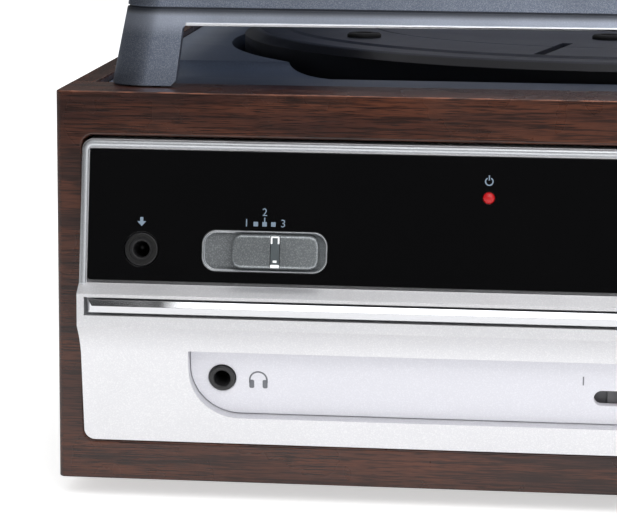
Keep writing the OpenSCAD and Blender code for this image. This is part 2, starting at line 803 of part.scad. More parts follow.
// One level of the lid's outline, set in from its foot
module lid_slab(z, inset, r, t = 0.1) {
  translate([lid_in + inset, lid_front + inset, z]) linear_extrude(t)
    rounded(body_w - 2 * lid_in - 2 * inset, lid_rear - lid_front - 2 * inset, r, $fn = 32);
}

function lid_inset(z) = (z - lid_z0) * tan(lid_lean);

module lid_outer() {
  shoulder = lid_z1 - lid_round;
  hull() {
    lid_slab(lid_z0, 0, lid_r);
    lid_slab(shoulder, lid_inset(shoulder), lid_r);
    lid_slab(lid_z1 - lid_round * 0.3, lid_inset(shoulder) + lid_round * 0.4, lid_r);
    lid_slab(lid_z1 - 0.1, lid_inset(shoulder) + lid_round, lid_r);
  }
}

module lid_inner() {
  under = lid_z1 - lid_t;
  hull() {
    lid_slab(lid_z0 - 1, lid_t - tan(lid_lean), lid_r - lid_t);
    lid_slab(lid_z1 - lid_round, lid_inset(lid_z1 - lid_round) + lid_t, lid_r - lid_t);
    lid_slab(under - 0.1, lid_inset(lid_z1 - lid_round) + lid_round, lid_r - lid_t);
  }
}

// A cut-out of the lid's wall: leaning ends and a slightly arched top
module cutout(from, to, z0, z1, rise) {
  steps = 12;
  end_lean = 1.2;
  left = from + end_lean;
  right = to - end_lean;
  top = [for (i = [0:steps]) let (t = i / steps)
    [left + (right - left) * t, z1 + rise * (1 - pow(2 * t - 1, 2))]];
  polygon(concat([[to, z0], [from, z0], [from, lid_z0]], top, [[to, lid_z0]]));
}

// The lid: four legs, leaning walls with a cut-out each, a groove line and the hinge lugs
module lid_frame() {
  color(lid_grey) in_cabinet() difference() {
    union() {
      difference() {
        lid_outer();
        lid_inner();
        along_y(-20, body_d + 20) cutout(lid_in + leg_w, body_w - lid_in - leg_w, lid_z0 - 2, leg_top, cutout_rise);
        along_x(-20, body_w + 20) cutout(lid_front + leg_w, lid_rear - leg_w, lid_z0 - 2, leg_top, cutout_rise);
      }
      mirrored() {
        block([hinge_x - lug_w / 2, lid_rear - lid_t - 2, hinge_z - knuckle_r],
          [hinge_x + lug_w / 2, hinge_y, hinge_z + knuckle_r]);
        translate([0, hinge_y, hinge_z]) rod_x(knuckle_r, hinge_x - lug_w / 2, hinge_x + lug_w / 2);
      }
    }
    block([window_in, window_in, lid_z1 - lid_t - 1], [body_w - window_in, body_d - window_in, lid_z1 + 1]);
    block([window_in - 4, window_in - 4, lid_z1 - 2.1], [body_w - window_in + 4, body_d - window_in + 4, lid_z1 + 1]);
    translate([0, 0, lid_line_z]) linear_extrude(0.6) difference() {
      translate([-10, -10]) square([body_w + 20, body_d + 20]);
      translate([lid_in + lid_inset(lid_line_z) + 0.5, lid_front + lid_inset(lid_line_z) + 0.5])
        rounded(body_w - 2 * (lid_in + lid_inset(lid_line_z) + 0.5),
          lid_rear - lid_front - 2 * (lid_inset(lid_line_z) + 0.5), lid_r);
    }
    mirrored() translate([0, hinge_y, hinge_z]) rod_x(hinge_r + run_gap, hinge_x - 10, hinge_x + 10);
    for (x = [lid_in + 11, body_w - lid_in - 11]) translate([x, lid_front + 1.7, lid_z0 - 1]) cylinder(r = 1, h = 3);
  }
}

module lid_window() {
  gap = 4 - seat_gap;
  color([0.2, 0.2, 0.22, 0.6]) in_cabinet()
    block([window_in - gap, window_in - gap, lid_z1 - 2.1],
      [body_w - window_in + gap, body_d - window_in + gap, lid_z1 - 0.1]);
}

// Brackets on the back board, each with two ears for the hinge pin
module lid_hinge_brackets() {
  half = lug_w / 2 + 0.3;
  color("#2c2c30") in_cabinet() mirrored() difference() {
    union() {
      block([hinge_x - half - ear_t, body_d, body_h - 18], [hinge_x + half + ear_t, body_d + 1.2, hinge_z - 2]);
      for (x = [hinge_x - half - ear_t, hinge_x + half]) {
        block([x, hinge_y - knuckle_r, body_h], [x + ear_t, body_d + 1.2, hinge_z]);
        translate([0, hinge_y, hinge_z]) rod_x(knuckle_r, x, x + ear_t);
      }
    }
    translate([0, hinge_y, hinge_z]) rod_x(hinge_r, 0, body_w / 4);
    translate([0, hinge_y, hinge_z]) rod_x(knuckle_r + 0.8, hinge_x - half, hinge_x + half);
    for (z = [body_h - 14, body_h - 6.2]) translate([hinge_x, 0, z]) rod_y(screw_r + run_gap, body_d - 1, body_d + 3);
  }
}

module lid_hinge_pins() {
  half = lug_w / 2 + 0.3 + ear_t;
  color(bright) in_cabinet() mirrored() translate([0, hinge_y, hinge_z])
    rod_x(hinge_r, hinge_x - half, hinge_x + half);
}

// Small soft stops under the lid's front legs
module lid_bumpers() {
  color("#101010") in_cabinet()
    for (x = [lid_in + 11, body_w - lid_in - 11])
      translate([x, lid_front + 1.7, body_h + 0.05]) cylinder(r = 1, h = 1.8);
}

// The panel's side outline: window slope, nose and the hollow curve down to the lower face
module panel_section() {
  steps = 10;
  turn = [-low_top_out - 1.1, cove_z + 3.4];
  cove = [for (i = [0:steps]) let (t = i / steps)
    pow(1 - t, 2) * [-nose_out, nose_z0] + 2 * t * (1 - t) * turn + pow(t, 2) * [-low_top_out, cove_z]];
  polygon(concat([[panel_back, panel_z1], [0, panel_z1], [-window_top_out, window_z1], [-window_out, window_z0],
    [-nose_out, nose_z1]], cove, [[-low_out, panel_z0], [panel_back, panel_z0]]));
}

module panel_hollow() {
  wall = 4.4;
  polygon([[panel_back + 1, panel_z1 - panel_wall], [wall - window_top_out, panel_z1 - panel_wall],
    [wall - window_out, window_z0], [wall - window_out, nose_z0], low_place(low_back, cove_z - panel_z0 + 1),
    low_place(low_back, panel_wall), [panel_back + 1, low_place(low_back, panel_wall)[1]]]);
}

// The control plate's outline: square upper corners and large round lower corners
module plate_outline(grow = 0) {
  w = plate_w + 2 * grow;
  h = plate_h + 2 * grow;
  r = plate_r + grow;
  translate([plate_side - grow, plate_z0 - grow]) intersection() {
    square([w, h]);
    union() {
      translate([r, 0]) square([w - 2 * r, h]);
      translate([0, r]) square([w, h]);
      for (x = [r, w - r]) translate([x, r]) circle(r = r);
    }
  }
}

// The bright bead around the window: two uprights, a top bar and two round corners
module window_bead() {
  turn = panel_r - bead_r;
  top = (panel_z1 - bead_r - window_z0) / cos(tilt);
  on_window() {
    for (x = [panel_x0 + bead_r, panel_x1 - bead_r])
      translate([x, 0.3, -1]) cylinder(r = bead_r, h = top - turn + 1 + eps);
    translate([0, 0.3, top]) rod_x(bead_r, panel_x0 + bead_r + turn - eps, panel_x1 - bead_r - turn + eps);
    translate([panel_x0 + bead_r + turn, 0.3, top - turn]) rotate([90, 0, 0]) rotate([0, 0, 90])
      rotate_extrude(angle = 90) translate([turn, 0]) circle(r = bead_r);
    translate([panel_x1 - bead_r - turn, 0.3, top - turn]) rotate([90, 0, 0])
      rotate_extrude(angle = 90) translate([turn, 0]) circle(r = bead_r);
  }
}

// The front panel: a hollow moulding with a window slope, a nose and a lower face
module front_panel() {
  color(silver) in_cabinet() difference() {
    union() {
      intersection() {
        difference() {
          along_x(panel_x0, panel_x1) panel_section();
          along_x(panel_x0 + panel_wall, panel_x1 - panel_wall) panel_hollow();
        }
        along_y(-20, 20) translate([panel_x0, panel_z0]) rounded(panel_x1 - panel_x0, panel_z1 - panel_z0, panel_r);
      }
      window_bead();
    }
    on_window() block([window_side, -4, 0], [body_w - window_side, window_t + 0.05, window_h]);
    on_window() block([window_side + 3, 0, 2.5], [body_w - window_side - 3, 12, window_h - 2.5]);
    block([panel_x0 + 1.4, -nose_out - 1, strip_z - groove_h / 2],
      [panel_x1 - 1.4, -nose_out + groove_deep, strip_z + groove_h / 2]);
    on_low() {
      along_y(-4, plate_back) plate_outline(seat_gap);
      translate([headphone_x, 0, headphone_z]) rod_y(3.4, plate_back - 1, low_back + 1);
      block([channel_x0, plate_back - 1, scale_z - channel_h / 2],
        [channel_x1, low_back + 1, scale_z + channel_h / 2]);
      block([band_x - band_w / 2 - 2.5, plate_back - 1, row_z - 3.6],
        [band_x + band_w / 2 + 2.5, low_back + 1, row_z + 3.6]);
      translate([tuning_x, 0, tuning_z]) rod_y(5.2, plate_back - 1, low_back + 1);
    }
  }
}

// The glossy display window with its openings
module display_window() {
  color(gloss_black) in_cabinet() difference() {
    on_window() along_y(0, window_t) translate([window_side + seat_gap, seat_gap])
      rounded(body_w - 2 * (window_side + seat_gap), window_h - 2 * seat_gap, 1.5);
    on_window(aux_x, aux_z) rod_y(3.9, -1, 4);
    on_window(switch_x, switch_z) along_y(-1, 4) rounded_mid(recess_l, recess_h, 3.2);
    on_window(led_x, led_z) rod_y(1.3, -1, 4);
    on_window(power_x, power_z) rod_y(4.8, -1, 4);
    on_window(volume_x, volume_z) rod_y(3.4, -1, 4);
  }
}

// The chrome strip: two long facets that meet in a ridge, with mitred ends
module chrome_strip() {
  x0 = panel_x0 + 2.2;
  x1 = panel_x1 - 2.2;
  foot = -nose_out + groove_deep;
  low = -nose_out + 0.4;
  color(bright) in_cabinet() difference() {
    along_x(x0, x1) polygon([[foot, strip_z - strip_h / 2], [low, strip_z - strip_h / 2], [-nose_out - 0.4, strip_z],
      [low, strip_z + strip_h / 2], [foot, strip_z + strip_h / 2]]);
    for (s = [0, 1]) translate([s * (x0 + x1), 0, 0]) mirror([s, 0, 0]) translate([0, 0, strip_z - 5])
      linear_extrude(10) polygon([[x0 - 1, low + eps], [x0, low], [x0 + 1.6, -nose_out - 0.4],
        [x0 + 1.6, -nose_out - 2], [x0 - 1, -nose_out - 2]]);
  }
}

// The inset control plate with its openings
module control_plate() {
  front = plate_front - 1;
  back = plate_back + 1;
  color("#dcdce2") in_cabinet() on_low() difference() {
    along_y(plate_front, plate_back) plate_outline(0);
    translate([headphone_x, 0, headphone_z]) rod_y(3.15, front, back);
    along_y(front, back) translate([scale_x0, scale_z - scale_h / 2]) rounded(scale_l, scale_h, scale_h / 2 - eps);
    block([band_x - band_w / 2, front, row_z - band_h / 2], [band_x + band_w / 2, back, row_z + band_h / 2]);
    translate([tuning_x, 0, tuning_z]) rod_y(3.4, front, back);
  }
}

// The input jack: a round collar with a raised ring, a plug bore and a body
module aux_jack() {
  color(gloss_black) in_cabinet() on_window(aux_x, aux_z) difference() {
    union() {
      rod_y(3.7, 0.9, 4.6);
      difference() {
        rod_y(3.4, 0, 2);
        rod_y(2.7, -1, 0.8);
      }
      block([-5.5, 4.5, -4], [5.5, board_y, 6]);
    }
    rod_y(jack_bore_r, -1, 15);
  }
}

module headphone_jack() {
  body_l = 13.4;
  color(gloss_black) in_cabinet() on_low(headphone_x, headphone_z) difference() {
    union() {
      rod_y(2.95, plate_front - 0.2, low_back + eps);
      block([-6, low_back, -5.5], [6, low_back + body_l, 5.5]);
    }
    rod_y(jack_bore_r, 0, plate_front + 15.2);
  }
}

// The silver recess that the function knob slides in
module switch_bezel() {
  travel = 2 * detent;
  color("#b9bcc0") in_cabinet() on_window(switch_x, switch_z) difference() {
    union() {
      along_y(0, window_t) rounded_mid(recess_l - 0.2, recess_h - 0.2, 3.1);
      along_y(window_t, window_t + 1) rounded_mid(recess_l + 6, recess_h, 3.1);
    }
    along_y(-1, 1.1) rounded_mid(recess_l - 1.4, recess_h - 1.2, 2.6);
    block([knob_x - switch_x - travel - 2.2, 0, -1.6], [knob_x - switch_x + 2.2, window_t + 2, 1.6]);
  }
}

// The function knob: a bevelled grip with a clear marker groove and a stem
module function_knob() {
  front = -1.9;
  half_l = knob_l / 2;
  half_h = knob_h / 2;
  color("#c4c6ca") in_cabinet() on_window(knob_x, switch_z) difference() {
    union() {
      along_y(front + 0.9, 0.9) rounded_mid(knob_l, knob_h, 1.2);
      intersection() {
        along_x(-half_l, half_l) polygon([[0, -half_h], [front + 0.9, -half_h], [front, -half_h + 0.9],
          [front, half_h - 0.9], [front + 0.9, half_h], [0, half_h]]);
        translate([0, 0, -half_h]) linear_extrude(knob_h) polygon([[-half_l, 0], [-half_l, front + 0.9],
          [-half_l + 0.9, front], [half_l - 0.9, front], [half_l, front + 0.9], [half_l, 0]]);
      }
      block([-1.8, 0.8, -1.1], [1.8, window_t + 8.5, 1.1]);
    }
    block([-1.2, front - 1, -half_h + 0.7], [1.2, front + 0.6, half_h - 0.7]);
  }
}

// The two slide switches behind the panel, each with a slot for its knob's stem
module slide_switches() {
  travel = 2 * detent;
  color("#8f9296") in_cabinet() {
    on_window(switch_x, switch_z) difference() {
      block([-14, 6.5, -4.5], [14, board_y, 4.5]);
      block([knob_x - switch_x - travel - 2.4, 6, -1.6], [knob_x - switch_x + 2.4, 12, 1.6]);
    }
    on_low(band_x, row_z) difference() {
      block([-band_w / 2 - 3, low_back + 1, -4], [band_w / 2 + 3, low_back + 6.9, 4]);
      block([-band_w / 2, low_back, -1], [band_w / 2, low_back + 3.9, 1]);
      block([-band_w / 2 - 2.6, low_back, -3.6], [band_w / 2 + 2.6, low_back + 1.4, 3.6]);
    }
    on_low(band_x, row_z) for (s = [-1, 1])
      translate([s * (band_w / 2 + 3.6), 0, 0]) block([-0.7, low_back, -4], [0.7, low_back + 3.9, 4]);
  }
}

// The power lamp: a domed lens and its body
module power_led() {
  color("#c81414") in_cabinet() on_window(led_x, led_z) {
    rotate([90, 0, 0]) rotate_extrude() polygon(concat([[0, -board_y], [1.25, -board_y]],
      [for (i = [0:6]) let (a = 15 * i) [1.25 * cos(a), 0.9 * sin(a) - 0.3]]));
  }
}

// The push button with its stem, which slides in the small switch on the front board
module power_button() {
  color(silver) in_cabinet() on_window(power_x, power_z) difference() {
    union() {
      rod_y(4.5, -3.2, 3.4);
      rod_y(1.4, 3.3, 13);
    }
    rod_y(3.4, -4, -2.8);
  }
}

// A ribbed round knob whose back is at y = 0, with its shaft going back
module round_knob(r, out, shaft) {
  flutes = 28;
  grip_r = r - 0.8;
  rotate([90, 0, 0]) rotate_extrude() polygon([[0, 0.6], [r, 0.6], [r, 2], [grip_r, 2.8], [0, 2.8]]);
  along_y(-out + 1, -2.7) difference() {
    circle(r = grip_r);
    for (i = [0:flutes - 1]) rotate(360 * i / flutes) translate([grip_r + 0.15, 0]) circle(r = 0.5, $fn = 16);
  }
  difference() {
    rotate([90, 0, 0]) rotate_extrude()
      polygon([[0, out - 1.1], [grip_r - 0.5, out - 1.1], [r - knob_taper, out], [0, out]]);
    block([-0.5, -out - 1, grip_r - 5.4], [0.5, -out + 0.6, grip_r - 1.9]);
  }
  rod_y(3, -1, shaft);
}

module volume_knob() {
  color(bright) in_cabinet() on_window(volume_x, volume_z) round_knob(volume_r, knob_out, 14);
}

// The volume control behind the window, standing on the front board
module volume_pot() {
  color("#7d8085") in_cabinet() on_window(volume_x, volume_z) difference() {
    union() {
      rod_y(4.8, window_t + 0.2, 8);
      rod_y(10, 7.9, board_y);
    }
    rod_y(3 + run_gap, 0, 15);
  }
}

module tuning_knob() {
  color(bright) in_cabinet() on_low(tuning_x, tuning_z) translate([0, -knob_gap, 0])
    round_knob(tuning_r, knob_out, tuning_shaft);
}

// The tuning capacitor behind the panel
module tuning_capacitor() {
  front = low_back + 2.4;
  capacitor_d = 18.1;
  color("#d9d5c4") in_cabinet() on_low(tuning_x, tuning_z) difference() {
    union() {
      rod_y(4.8, plate_back + 0.1, front + eps);
      block([-capacitor_w / 2, front, -capacitor_w / 2], [capacitor_w / 2, front + capacitor_d, capacitor_w / 2]);
    }
    rod_y(3 + run_gap, 0, tuning_shaft + 0.7);
  }
}

// The tuning pointer: a red needle on a tab that slides behind the plate
module tuning_pointer() {
  color("#c23b22") in_cabinet() on_low(pointer_start, scale_z) {
    block([-pointer_w / 2, plate_front + 0.3, -scale_h / 2 + 0.3],
      [pointer_w / 2, plate_back + 0.4, scale_h / 2 - 0.3]);
    block([-3, plate_back + 0.3, -channel_h / 2 + 0.7], [3, plate_back + 1.1, channel_h / 2 - 0.7]);
  }
}

// The grey backing behind the scale's slot
module scale_backing() {
  side = 2.9;
  color("#606060") in_cabinet() on_low() {
    block([channel_x0 - side, low_back, scale_z - channel_h / 2 - 2],
      [channel_x1 + side, low_back + 1.2, scale_z + channel_h / 2 + 4]);
    block([channel_x0 + 0.2, plate_back + 1.4, scale_z - channel_h / 2 + 0.2],
      [channel_x1 - 0.2, low_back + eps, scale_z + channel_h / 2 - 0.2]);
  }
}

module band_knob() {
  color(bright) in_cabinet() on_low(band_x - detent, row_z) {
    block([-2.6, plate_front - 1.8, -band_h / 2 + 0.3], [2.6, plate_back + 0.4, band_h / 2 - 0.3]);
    block([-4, plate_back + 0.3, -2.8], [4, low_back - 0.6, 2.8]);
    block([-1.2, low_back - 0.7, -0.7], [1.2, low_back + 3, 0.7]);
  }
}

// The board behind the window with the push button's small switch
module front_board() {
  color(board_green) in_cabinet() on_window() {
    block([14, board_y, 1], [body_w - 14, board_y + 1.6, window_h - 2]);
    translate([power_x, 0, power_z]) difference() {
      block([-4, 8, -4], [4, board_y + eps, 4]);
      rod_y(1.5, 7, 16);
    }
  }
}

// The main board on its stands, with its parts
module main_board() {
  board_w = 200;
  board_d = 96;
  board_up = 6;
  stand_in = 8;
  fin_pitch = 5;
  fin_d = 20;
  top = board_up + 1.5;
  color(board_green) in_cabinet() translate([(body_w - board_w) / 2, frame_t + 25, floor_t]) {
    translate([0, 0, board_up]) cube([board_w, board_d, 1.6]);
    for (x = [stand_in, board_w - stand_in]) for (y = [stand_in, board_d - stand_in])
      translate([x, y, 0]) cylinder(r = 3, h = board_up + eps);
    for (i = [0:2]) translate([30 + 18 * i, 24, top]) cylinder(r = 6.3, h = 22);
    for (i = [0:4]) translate([board_w / 2 + 14 * i, 70, top]) cylinder(r = 4, h = 12);
    translate([120, 20, top]) cube([26, 10, 4]);
    translate([120, 40, top]) cube([18, 8, 4]);
    for (i = [0:6]) translate([26 + fin_pitch * i, 62, top]) cube([1.6, fin_d, 24]);
    translate([26, 62 + fin_d / 2 - 1.5, top]) cube([6 * fin_pitch + 1.6, 3, 26]);
  }
}

// The mains transformer: a core with two windows, a winding and a mounting strap
module transformer() {
  core_w = 50;
  core_d = 20;
  core_h = 42;
  limb = 9;
  window_w = 8;
  window_h = core_h - 2 * limb + 2;
  wind_gap = 0.2;
  wind_w = core_w - 2 * limb - 2 * wind_gap;
  middle_w = core_w - 2 * limb - 2 * window_w;
  color("#8c8f94") in_cabinet() translate([body_w - 88, body_d - 86, floor_t]) {
    difference() {
      translate([0, 0, 2]) cube([core_w, core_d, core_h]);
      for (x = [limb, core_w - limb - window_w]) translate([x, -1, limb + 1]) cube([window_w, core_d + 2, window_h]);
    }
    translate([limb + wind_gap, -8, limb + 1 + wind_gap]) difference() {
      cube([wind_w, core_d + 16, window_h - 2 * wind_gap]);
      translate([window_w - wind_gap - 0.1, 8 - 0.1, -1]) cube([middle_w + 0.2, core_d + 0.2, window_h + 2]);
    }
    translate([-limb, 2, 0]) cube([core_w + 2 * limb, core_d - 4, 2 + eps]);
  }
}

// One speaker: a ring, a basket, a cone and a magnet, facing left
module speaker() {
  difference() {
    union() {
      rod_x(speaker_r, 0, 2);
      translate([2, 0, 0]) rotate([0, 90, 0]) cylinder(r1 = speaker_r - 2, r2 = 14, h = 10);
      rod_x(16, 12 - eps, 21);
    }
    translate([-eps, 0, 0]) rotate([0, 90, 0]) cylinder(r1 = speaker_r - 5, r2 = 8, h = 9);
  }
  translate([4, 0, 0]) rotate([0, 90, 0]) cylinder(r1 = 6, r2 = 8, h = 5);
}

module speakers() {
  color("#2b2b2e") in_cabinet() mirrored() translate([board_t, speaker_y, speaker_z]) speaker();
}

// The round grilles: a disc with slots, flush with the side boards
module speaker_grilles() {
  slots = 9;
  pitch = 5.6;
  color(matt_black) in_cabinet() mirrored() translate([0, speaker_y, speaker_z]) difference() {
    rod_x(grille_r, 0, grille_t);
    for (i = [0:slots - 1]) let (z = (i - (slots - 1) / 2) * pitch, half = sqrt(pow(grille_r - 5, 2) - z * z))
      along_x(-1, grille_t + 1) translate([-half, z - 1.2]) rounded(2 * half, 2.4, 1.19);
  }
}

// The plate on the back that holds the sockets
module rear_plate() {
  color(matt_black) in_cabinet() difference() {
    block([rear_x0, body_d, rear_z0], [rear_x1, body_d + rear_t, rear_z1]);
    each_rear_screw() rod_y(screw_r + run_gap, body_d - 1, body_d + 4);
    for (x = [socket_x, socket_x + socket_pitch]) translate([x, 0, port_z]) rod_y(4.9, body_d - 1, body_d + 4);
    translate([inlet_x, 0, port_z]) along_y(body_d - 1, body_d + 4) rounded_mid(22.4, 14.4, 5);
  }
}

// Two output sockets, each a metal barrel around a bored centre
module output_sockets() {
  color("#c9c9cc") in_cabinet() for (x = [socket_x, socket_x + socket_pitch]) translate([x, 0, port_z]) {
    difference() {
      union() {
        rod_y(6.5, body_d - 3, body_d);
        rod_y(4.8, body_d - eps, body_d + rear_t);
        rod_y(4.15, body_d + rear_t - eps, body_d + socket_reach);
        rod_y(5, body_d - 10, body_d - 3 + eps);
      }
      rod_y(3.6, body_d + rear_t + 1, body_d + socket_reach + 1);
      rod_y(1.6, body_d - 6, body_d + socket_reach + 1);
    }
    difference() {
      rod_y(2.4, body_d + rear_t, body_d + socket_reach - 1);
      rod_y(1.6, body_d - 6, body_d + socket_reach + 1);
    }
  }
}

// The mains inlet: a cup with a figure-of-eight well and two pins
module mains_inlet() {
  color(gloss_black) in_cabinet() translate([inlet_x, 0, port_z]) {
    difference() {
      union() {
        along_y(body_d - 16, body_d) rounded_mid(26, 18, 5);
        along_y(body_d - eps, body_d + rear_t + 0.8) rounded_mid(22, 14, 4.9);
      }
      for (x = [-4.2, 4.2]) translate([x, 0, 0]) rod_y(4, body_d - 12, body_d + 4);
      block([-4.2, body_d - 12, -2.6], [4.2, body_d + 4, 2.6]);
    }
    for (x = [-4.2, 4.2]) translate([x, 0, 0]) rod_y(1.2, body_d - 13, body_d - 1);
  }
}

front_frame();
left_side_board();
right_side_board();
bottom_board();
back_board();
glue_blocks();
feet();
screws();
deck_plate();
platter();
platter_pads();
spindle();
spindle_bearing();
drive_belt();
motor();
motor_pulley();
speed_selector();
autostop_switch();
tonearm_base();
tonearm_yoke();
tonearm_tube();
headshell();
cartridge();
stylus();
counterweight();
tonearm_rest();
arm_clip();
cue_lever();
arm_lifter();
lid_frame();
lid_window();
lid_hinge_brackets();
lid_hinge_pins();
lid_bumpers();
front_panel();
display_window();
chrome_strip();
control_plate();
aux_jack();
headphone_jack();
switch_bezel();
function_knob();
slide_switches();
power_led();
power_button();
volume_knob();
volume_pot();
tuning_knob();
tuning_capacitor();
tuning_pointer();
scale_backing();
band_knob();
front_board();
main_board();
transformer();
speakers();
speaker_grilles();
rear_plate();
output_sockets();
mains_inlet();
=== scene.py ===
"""The looks of a stereo music centre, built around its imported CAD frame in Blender 4.5.

Places and sizes are millimetres, measured from the cabinet's front lower left corner: X runs
right, Y runs back and Z runs up. at() turns them into the frame's metres.
"""

import json
import math

import bmesh
import bpy
from mathutils import Matrix, Vector


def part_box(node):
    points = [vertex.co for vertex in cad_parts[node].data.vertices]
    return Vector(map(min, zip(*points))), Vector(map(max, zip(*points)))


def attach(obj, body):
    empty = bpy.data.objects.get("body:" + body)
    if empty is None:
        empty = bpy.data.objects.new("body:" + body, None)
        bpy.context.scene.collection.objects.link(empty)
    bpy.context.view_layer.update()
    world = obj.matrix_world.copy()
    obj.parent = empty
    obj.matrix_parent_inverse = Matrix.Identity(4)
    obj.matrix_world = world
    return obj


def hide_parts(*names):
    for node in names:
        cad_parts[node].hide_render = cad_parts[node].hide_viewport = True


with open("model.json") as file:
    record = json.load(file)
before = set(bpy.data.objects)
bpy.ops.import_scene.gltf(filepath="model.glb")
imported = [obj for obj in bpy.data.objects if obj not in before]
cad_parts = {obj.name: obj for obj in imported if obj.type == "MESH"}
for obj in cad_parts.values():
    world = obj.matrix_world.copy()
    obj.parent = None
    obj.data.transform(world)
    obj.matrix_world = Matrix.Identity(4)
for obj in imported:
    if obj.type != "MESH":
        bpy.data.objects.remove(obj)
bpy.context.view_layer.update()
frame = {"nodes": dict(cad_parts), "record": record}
nodes = frame["nodes"]

MM = 0.001
UP = (0, 0, 1)
STEPS = [i / 16 for i in range(17)]
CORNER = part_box("front_frame")[0]
BODY_W, FRAME_T, BODY_H = (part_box("front_frame")[1] - CORNER) / MM
BODY_D = (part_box("back_board")[1].y - CORNER.y) / MM

# The front frame's opening and the panel in it
STILE = 5.8
RAIL = 10.4
SILL = 8.9
OPENING_R = 2.6
GAP = 0.2
PANEL_X0 = STILE + GAP
PANEL_X1 = BODY_W - PANEL_X0
PANEL_Z0 = SILL + GAP
PANEL_Z1 = BODY_H - RAIL - GAP
PANEL_R = OPENING_R - GAP
PANEL_BACK = 8
BEAD_R = 0.8
NOSE_OUT = 8.6
NOSE_Z0 = SILL + 27.9
NOSE_Z1 = SILL + 35.2
LOW_TOP_OUT = 3.8
LOW_OUT = 0.2
COVE_Z = SILL + 20.7
LOW_TILT = math.atan((LOW_TOP_OUT - LOW_OUT) / (COVE_Z - PANEL_Z0))

# The leaning window and what stands on it
WINDOW_OUT = 5.4
WINDOW_TOP_OUT = 0.4
WINDOW_T = 2.2
WINDOW_Z0 = SILL + 37.4
WINDOW_Z1 = PANEL_Z1 - 2 * BEAD_R - 0.4
TILT = math.atan((WINDOW_OUT - WINDOW_TOP_OUT) / (WINDOW_Z1 - WINDOW_Z0))
WINDOW_H = (WINDOW_Z1 - WINDOW_Z0) / math.cos(TILT)
WINDOW_X0 = PANEL_X0 + 2 * BEAD_R + 0.1
AUX = (19.7, 7.4)
SWITCH = (47.1, 7.5)
KNOB_X = SWITCH[0] + 2.5
LED = (96, WINDOW_H - 9.1)
POWER = (BODY_W - 110, 7.4)
VOLUME = (BODY_W - 54, WINDOW_H / 2)

# The chrome strip and the control plate, which lies below the leaning lower face
STRIP_Z = (NOSE_Z0 + NOSE_Z1) / 2 + 0.95
STRIP_H = 2.8
PLATE_SIDE = 30.2
PLATE_H = 15.7
PLATE_Z0 = 6.3
PLATE_R = 11
PLATE_T = 1.8
PLATE_DEEP = 2.8
ROW_Z = PLATE_Z0 + 6.7
PHONES = (PLATE_SIDE + 7.1, PLATE_Z0 + 8.5)
TUNING = (BODY_W - 50, ROW_Z + 0.3)
BAND_X = TUNING[0] - 21.1
SCALE_X0 = 120
SCALE_X1 = BAND_X - 17
SCALE_H = 3.55

# The deck
LIP = 5.6
DECK_Z = BODY_H - 1.6
DECK_T = 2.8
WELL_DEEP = 12
PAN_WALL = 2.4
PAN_FLOOR = 2.5
PLATTER_X = 124.8
PLATTER_Y = 153
PLATTER_R = 101
WELL_R = PLATTER_R + 3.5
PLATEAU_Z = DECK_Z + 5.1
TROUGH_Y0 = PLATTER_Y - WELL_R + 0.1
TROUGH_Y1 = TROUGH_Y0 + 40.1
TROUGH_X0 = 13.5
TROUGH_X1 = PLATTER_X + 137
TROUGH_DEEP = 2.9
SLOT_ANGLE = math.radians(257.4)

# The tonearm's pivot
ARM_X = BODY_W - 48
ARM_Y = BODY_D - 68

# The side boards and the grilles in them
BOARD_T = 12
GRILLE_Y = 92
GRILLE_Z = 40.5
GRILLE_R = 31.1
GRILLE_DEEP = 2
SPEAKER_R = 24.5

# The lid
LID_IN = 9.8
LID_FRONT = LID_IN - 0.7
LID_Z0 = BODY_H + 0.4
LID_Z1 = BODY_H + 45
LID_LEAN = math.radians(10)
LID_T = 3
LID_R = 9
LID_ROUND = 6
LEG_W = 15.6
LEG_TOP = BODY_H + 13.7
LEG_LEAN = 1.2
LINE_Z = LEG_TOP + 3.6
LINE_H = 0.55
ARCH_H = 0.6
WINDOW_IN = 46
HINGE_Y = BODY_D - 4
HINGE_Z = BODY_H + 5
HINGE_X = LID_IN + 7.2
LUG_HALF = 4
LUG_R = 3.5


# Places

def at(x, y, z):
    """A place measured from the cabinet's corner, in the frame's metres."""
    return CORNER + MM * Vector((x, y, z))


def arc(x, y, r, start, end, steps=8):
    """Points of an arc about a centre, its angles in degrees."""
    angles = [math.radians(start + (end - start) * i / steps) for i in range(steps + 1)]
    return [(x + r * math.cos(a), y + r * math.sin(a)) for a in angles]


def rounded(w, h, r, steps=8):
    """The outline of a rectangle with rounded corners, about the origin."""
    x, y = w / 2 - r, h / 2 - r
    return (arc(x, y, r, 0, 90, steps) + arc(-x, y, r, 90, 180, steps)
            + arc(-x, -y, r, 180, 270, steps) + arc(x, -y, r, 270, 360, steps))


class Face:
    """An upright or leaning face, measured along it from its lower edge."""

    def __init__(self, y, z, tilt):
        self.y, self.z, self.tilt = y, z, tilt
        self.out = Vector((0, -math.cos(tilt), math.sin(tilt)))
        self.up = Vector((0, math.sin(tilt), math.cos(tilt)))

    def place(self, x, out, up):
        """A place on the face; out is how far it stands in front of it."""
        y = self.y - out * math.cos(self.tilt) + up * math.sin(self.tilt)
        z = self.z + out * math.sin(self.tilt) + up * math.cos(self.tilt)
        return Vector((x, y, z))

    def shape(self, middle, out, w, h, r, steps=10):
        """A rounded rectangle along the face."""
        return [self.place(middle[0] + x, out, middle[1] + up)
                for x, up in rounded(w, h, r, steps)]


WINDOW = Face(-WINDOW_OUT, WINDOW_Z0, TILT)
LOWER = Face(-LOW_OUT, PANEL_Z0, -LOW_TILT)
FRONT = Face(0, 0, 0)


# Modelling

def take(name):
    """Makes the primitive just added a piece, with its place put into its mesh."""
    piece = bpy.context.object
    piece.name = name
    piece.data.name = name
    piece.data.materials.append(M["satin_silver"])
    bpy.ops.object.transform_apply(location=True, rotation=True, scale=True)
    return piece


def deselect():
    bpy.ops.object.select_all(action="DESELECT")


